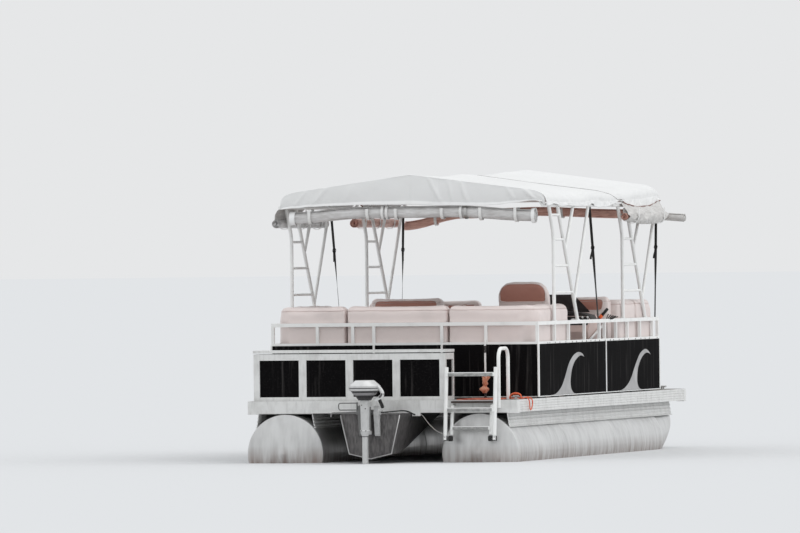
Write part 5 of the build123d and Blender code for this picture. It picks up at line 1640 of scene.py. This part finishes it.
    def screws(self):
        """Screw heads along the rail above the sheets, on all four sides."""
        tree = self.screw_tree()
        turns = {item.name: item.identifier for item in tree.interface.items_tree if item.in_out == "INPUT"}
        port_screws = [y for y in self.side_screws if not 1.52 < y < 2.42]
        quarter = math.pi / 2
        rows = (
            ("starboard_screws", [at(1.2166, y, self.screw_z) for y in self.side_screws], (0, quarter, 0)),
            ("port_screws", [at(-1.2166, y, self.screw_z) for y in port_screws], (0, -quarter, 0)),
            ("stern_screws", [at(x, 0.9834, self.screw_z) for x in self.stern_screws], (quarter, 0, 0)),
            ("bow_screws", [at(x, 5.1056, self.screw_z) for x in self.bow_screws], (-quarter, 0, 0)))
        for name, places, turn in rows:
            mesh = bpy.data.meshes.new(name)
            mesh.from_pydata([tuple(place) for place in places], [], [])
            made = linked(name, mesh)
            nodes = made.modifiers.new("heads", "NODES")
            nodes.node_group = tree
            nodes[turns["Turn"]] = turn
            settle(made)
            made.data.shade_smooth()
            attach(made, "hull")

    def stay_straps(self):
        """The four black stays as flat straps with a half turn, each with a buckle and a loose tail."""
        # Head and foot of a side's two stays: distance from the stern and height of each
        stays = (((2.660, 1.676, 2.932, 0.664), "aft"), ((5.105, 1.676, 5.021, 0.664), "fore"))
        steps, tail_steps = 60, 12
        wall = 0.0022
        for side, name in ((1, "starboard"), (-1, "port")):
            centre = side * 1.200
            for (y0, z0, y1, z1), end in stays:

                def spot(i, j):
                    share = j / steps
                    turn = math.radians(12 + 66 * rounded((share - 0.25) / 0.5)) * side
                    across = (i - 0.5) * 0.024
                    sway = 0.004 * math.sin(math.pi * share)
                    y = y0 + (y1 - y0) * share + across * math.sin(turn) + sway
                    return at(centre + across * math.cos(turn), y, z0 + (z1 - z0) * share)

                points, faces = grid(1, steps, spot)
                strap = piece(f"{name}_{end}_stay", points, faces, "black_webbing", smooth=False)
                made = thicken(strap, wall, 0.0)
                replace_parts(made, "black_stays")
                knot_y, knot_z = y0 + (y1 - y0) * 0.36, z0 + (z1 - z0) * 0.36
                buckle = [at(centre + 0.015 * math.cos(a), knot_y + 0.004, knot_z + 0.020 * math.sin(a))
                          for a in full_turn(14)]
                tube(f"{name}_{end}_buckle", buckle, 0.0035, "rubber", "hull", 8, closed=True)

                def tail(i, j):
                    share = j / tail_steps
                    z = knot_z - 0.010 - 0.095 * share - 0.008 * math.sin(6 * share)
                    return at(centre + (i - 0.5) * 0.018 - side * 0.010 * share,
                              knot_y - 0.006 - 0.030 * share, z)

                points, faces = grid(1, tail_steps, tail)
                strap = piece(f"{name}_{end}_tail", points, faces, "black_webbing", smooth=False)
                hanging = thicken(strap, wall, 0.0)

    def rag_on_rod(self):
        """A faded orange rag knotted round the thin rod, with a dark cord wound above and below it."""
        columns, rows = 26, 20
        x, y = 0.737, 0.739

        def spot(i, j):
            share = j / rows
            angle = 2 * math.pi * i / columns
            z = 0.048 + 0.146 * share
            reach = 0.013 + 0.011 * math.sin(math.pi * share) ** 0.7 + 0.014 * max(0, share - 0.72)
            pinch = 1 - 0.55 * math.exp(-((share - 0.42) / 0.10) ** 2)
            crease = noise.noise(Vector((math.cos(angle) * 2.2, math.sin(angle) * 2.2, z * 30)))
            flare = 0.075 * max(0, math.sin(2.5 * angle + 1)) ** 4 * max(0, share - 0.72)
            reach = (reach + 0.013 * crease) * pinch + flare
            lean = -0.030 * math.exp(-((share - 0.25) / 0.2) ** 2)
            reach = max(0.0105, reach)
            return at(x + reach * math.cos(angle) + lean * max(0, -math.cos(angle)),
                      y + reach * math.sin(angle), z)

        points, faces = grid(columns, rows, spot, ring=True)
        made = thicken(piece("orange_rag", points, faces, "rag"), 0.0012, 0.0)
        windings = (("lower_winding", 0.004, 0.046, "tread"), ("upper_winding", 0.400, 0.462, "boot"))
        for name, low, high, finish in windings:
            steps = int((high - low) / 0.0048) * 10
            coil = []
            for step in range(steps + 1):
                angle = 2 * math.pi * step / 10
                coil.append(at(x + 0.0105 * math.cos(angle), y + 0.0105 * math.sin(angle),
                               low + (high - low) * step / steps))
            tube(name, coil, 0.0026, finish, "hull", 6)


class AddLadderTrim(bpy.types.Operator):
    """Adds the ladder's ribbed treads, slim knuckles and dark sleeves"""

    bl_idname = "boat.add_ladder_trim"
    bl_label = "Ladder trim"
    # The folding half's hinge: distance from the stern, height
    hinge = (-0.135, -0.335)
    # Section of a tread: how far across and up, as shares of its half depth and half height
    section = [(-1.04, -0.98), (-1.07, -0.90), (-1.07, 0.55), (-1.04, 0.62), (-0.9, 0.62), (-0.9, -0.98)]

    def execute(self, context):
        # Middle height, distance from the stern, half length and body of each step's plate
        for name, z, y, half, body in (
                ("upper_tread", 0.225, self.lean(0.225), 0.200, "folding_ladder"),
                ("middle_tread", -0.081, self.lean(-0.081), 0.200, "folding_ladder"),
                ("lower_tread", -0.241, -0.097, 0.160, "hull")):
            deep, tall = (0.028, 0.017) if body != "hull" else (0.025, 0.015)
            loops = [[at(0.828 + side * half, y + across * deep * grow, z + up * tall * grow)
                      for across, up in self.section]
                     for side, grow in ((-1, 0.98), (-0.99, 1.0), (0.99, 1.0), (1, 0.98))]
            soft_edges(stacked(name, loops, "tread_plate", body))
        self.feet()
        return {"FINISHED"}

    def lean(self, z):
        """How far from the stern the folding half's steps stand at a height."""
        hinge_y, hinge_z = self.hinge
        return hinge_y - 0.008 + 0.068 * (z - hinge_z - 0.030) / (0.286 - hinge_z - 0.030)

    def feet(self):
        """A slim knuckle with its pin on each fixed stile, and a dark sleeve on each folding one."""
        hinge_y, hinge_z = self.hinge
        feet = (("port_knuckle", 0.632, 0.664, 0.607), ("starboard_knuckle", 0.992, 1.024, 1.049))
        levels = ((hinge_z - 0.020, 0.006), (hinge_z - 0.014, 0.001), (hinge_z + 0.016, 0.0),
                  (hinge_z + 0.026, 0.004), (hinge_z + 0.029, 0.008))
        for name, low_x, high_x, pin_x in feet:
            loops = []
            for z, cut in levels:
                port, starboard = low_x + cut, high_x - cut
                aft, fore = hinge_y - 0.014 + cut, hinge_y + 0.046 - cut
                loops.append([at(port, aft, z), at(starboard, aft, z), at(starboard, fore, z),
                              at(port, fore, z)])
            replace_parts(soft_edges(stacked(name, loops, "rubber")), "ladder_hinges")
            side = 1 if pin_x > high_x else -1
            pin = [at(high_x if side > 0 else low_x, hinge_y, hinge_z),
                   at(pin_x - side * 0.0205, hinge_y, hinge_z)]
            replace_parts(tube(name + "_pin", pin, 0.0058, "stainless"), "ladder_hinges")
            sleeve = [at(pin_x, hinge_y, hinge_z - 0.018), at(pin_x, hinge_y, hinge_z + 0.026)]
            tube(name + "_sleeve", sleeve, 0.0185, "rubber", "folding_ladder", 16)


class AddHelmTrim(bpy.types.Operator):
    """Adds the dark dash with its dials, knobs and cover, and the strut, clamp and vent beside the console"""

    bl_idname = "boat.add_helm_trim"
    bl_label = "Helm trim"

    def execute(self, context):
        self.dash()
        self.holders()
        return {"FINISHED"}

    def plate(self, name, corners, thickness, finish, radius=0.012):
        """A flat plate with rounded corners on four corners in a plane, raised by its thickness."""
        a, b, c, d = corners
        out = (b - a).cross(d - a).normalized()
        loop = []
        for before, here, after in ((d, a, b), (a, b, c), (b, c, d), (c, d, a)):
            first = here + (before - here).normalized() * radius
            last = here + (after - here).normalized() * radius
            for step in range(6):
                t = step / 5
                loop.append((1 - t) ** 2 * first + 2 * t * (1 - t) * here + t * t * last)
        middle = sum(corners, Vector()) / 4
        inset = [point + (middle - point).normalized() * thickness * 0.5 for point in loop]
        loops = [loop, [point + out * thickness * 0.7 for point in loop],
                 [point + out * thickness for point in inset]]
        return soft_edges(stacked(name, loops, finish))

    def dash(self):
        """The instrument panel on the console's leaning face, and the dark cover over its falling top."""
        def face(x, up):
            return at(x, 2.990 + 0.110 * up, 0.560 + 0.140 * up)

        corners = [face(x, up) for x, up in ((0.585, 0.42), (1.078, 0.42), (1.078, 0.95), (0.585, 0.95))]
        self.plate("instrument_panel", corners, 0.004, "dash")
        tilt = (face(0, 1) - face(0, 0)).normalized()
        out = Vector((0, -tilt.z, tilt.y))
        across = Vector((1, 0, 0))
        for number, (x, radius) in enumerate(((0.655, 0.034), (0.850, 0.034), (0.935, 0.026))):
            centre = face(x, 0.68) + out * 0.005
            ring = circle(centre, radius, across, tilt, 28)
            tube(f"dial_rim_{number}", ring, 0.003, "stainless", "hull", 8, closed=True)
            loops = [circle(centre + out * lift, reach, across, tilt, 28)
                     for lift, reach in ((-0.002, radius), (0.001, radius), (0.0015, radius * 0.5))]
            soft_edges(stacked(f"dial_{number}", loops, "knob"))
        # A knob's section: how far off the panel, radius
        knob = ((0, 0.006), (0.008, 0.006), (0.010, 0.0095), (0.018, 0.0095), (0.022, 0.006))
        for number, x in enumerate((1.019, 1.066)):
            centre = face(x, 0.84) + out * 0.004
            loops = [circle(centre + out * lift, reach, across, tilt, 16) for lift, reach in knob]
            soft_edges(stacked(f"knob_{number}", loops, "knob"))

        # The cover's section, distance from the stern and height over its top, then that top's height by x
        columns = 28
        profile = [(3.102, -0.016), (3.097, 0.006), (3.104, 0.016), (3.200, 0.020), (3.330, 0.016),
                   (3.345, 0.006), (3.345, -0.016)]
        tops = [(0.580, 0.722), (0.890, 0.722), (0.980, 0.712), (1.066, 0.694), (1.084, 0.664)]
        loops = []
        for step in range(columns + 1):
            x = 0.582 + 0.502 * step / columns
            height = along(tops, x)
            loops.append([at(x, y, height + lift) for y, lift in profile])
        soft_edges(stacked("dash_cover", loops, "dash"), 50)

    def holders(self):
        """A leaning strut by the console, a clamp with an orange grip and a small finned vent on the rail."""
        strut = [at(1.105, 2.991, 0.486), at(1.105, 3.211, 0.545), at(1.105, 3.527, 0.628)]
        tube("helm_strut", strut, 0.012, "knob", "hull", 12)
        foot, head = at(1.176, 3.060, 0.676), at(1.256, 3.060, 0.764)
        tube("clamp_grip", [foot, foot.lerp(head, 0.35)], 0.016, "tip", "hull", 14)
        tube("clamp_arm", [foot.lerp(head, 0.30), head], 0.013, "rubber", "hull", 14)
        jaw = [foot + Vector((0.004, reach, -0.008)) for reach in (-0.020, 0.020)]
        tube("clamp_jaw", jaw, 0.011, "rubber", "hull", 12)
        for step in range(5):
            base = at(1.182 + 0.012 * step, 3.300, 0.667)
            tip = base + Vector((0.016 + 0.010 * step, 0.02, 0.046 - 0.006 * step))
            fin = [base, base.lerp(tip, 0.5) + Vector((0, 0, 0.006)), tip]
            tube(f"vent_fin_{step}", fin, 0.0048, "rubber", "hull", 8)


OPERATORS = (
    AddFinishes, AddStage, AddCords, AddCanopy, AddCurtains, AddSeats, AddMotorTrim, AddFenceTrim,
    AddLadderTrim, AddHelmTrim)


class BoatPanel(bpy.types.Panel):
    """Lists the boat's pieces in the sidebar"""

    bl_idname = "VIEW3D_PT_boat"
    bl_label = "Pontoon boat"
    bl_space_type = "VIEW_3D"
    bl_region_type = "UI"
    bl_category = "Boat"

    def draw(self, context):
        for group in (context.scene.boat_sizes, context.scene.boat_colours):
            for name in group.bl_rna.properties.keys():
                if name not in ("rna_type", "name"):
                    self.layout.prop(group, name)
        for operator in OPERATORS:
            self.layout.operator(operator.bl_idname)


CLASSES = (BoatSizes, BoatColours, *OPERATORS, BoatPanel)


def register():
    for each in CLASSES:
        bpy.utils.register_class(each)
    bpy.types.Scene.boat_sizes = bpy.props.PointerProperty(type=BoatSizes)
    bpy.types.Scene.boat_colours = bpy.props.PointerProperty(type=BoatColours)


def unregister():
    del bpy.types.Scene.boat_colours
    del bpy.types.Scene.boat_sizes
    for each in reversed(CLASSES):
        bpy.utils.unregister_class(each)


def main():
    """Runs every step in order."""
    register()
    bpy.context.scene.view_settings.view_transform = "Standard"
    for operator in OPERATORS:
        group, name = operator.bl_idname.split(".")
        getattr(getattr(bpy.ops, group), name)()


if __name__ == "__main__":
    main()
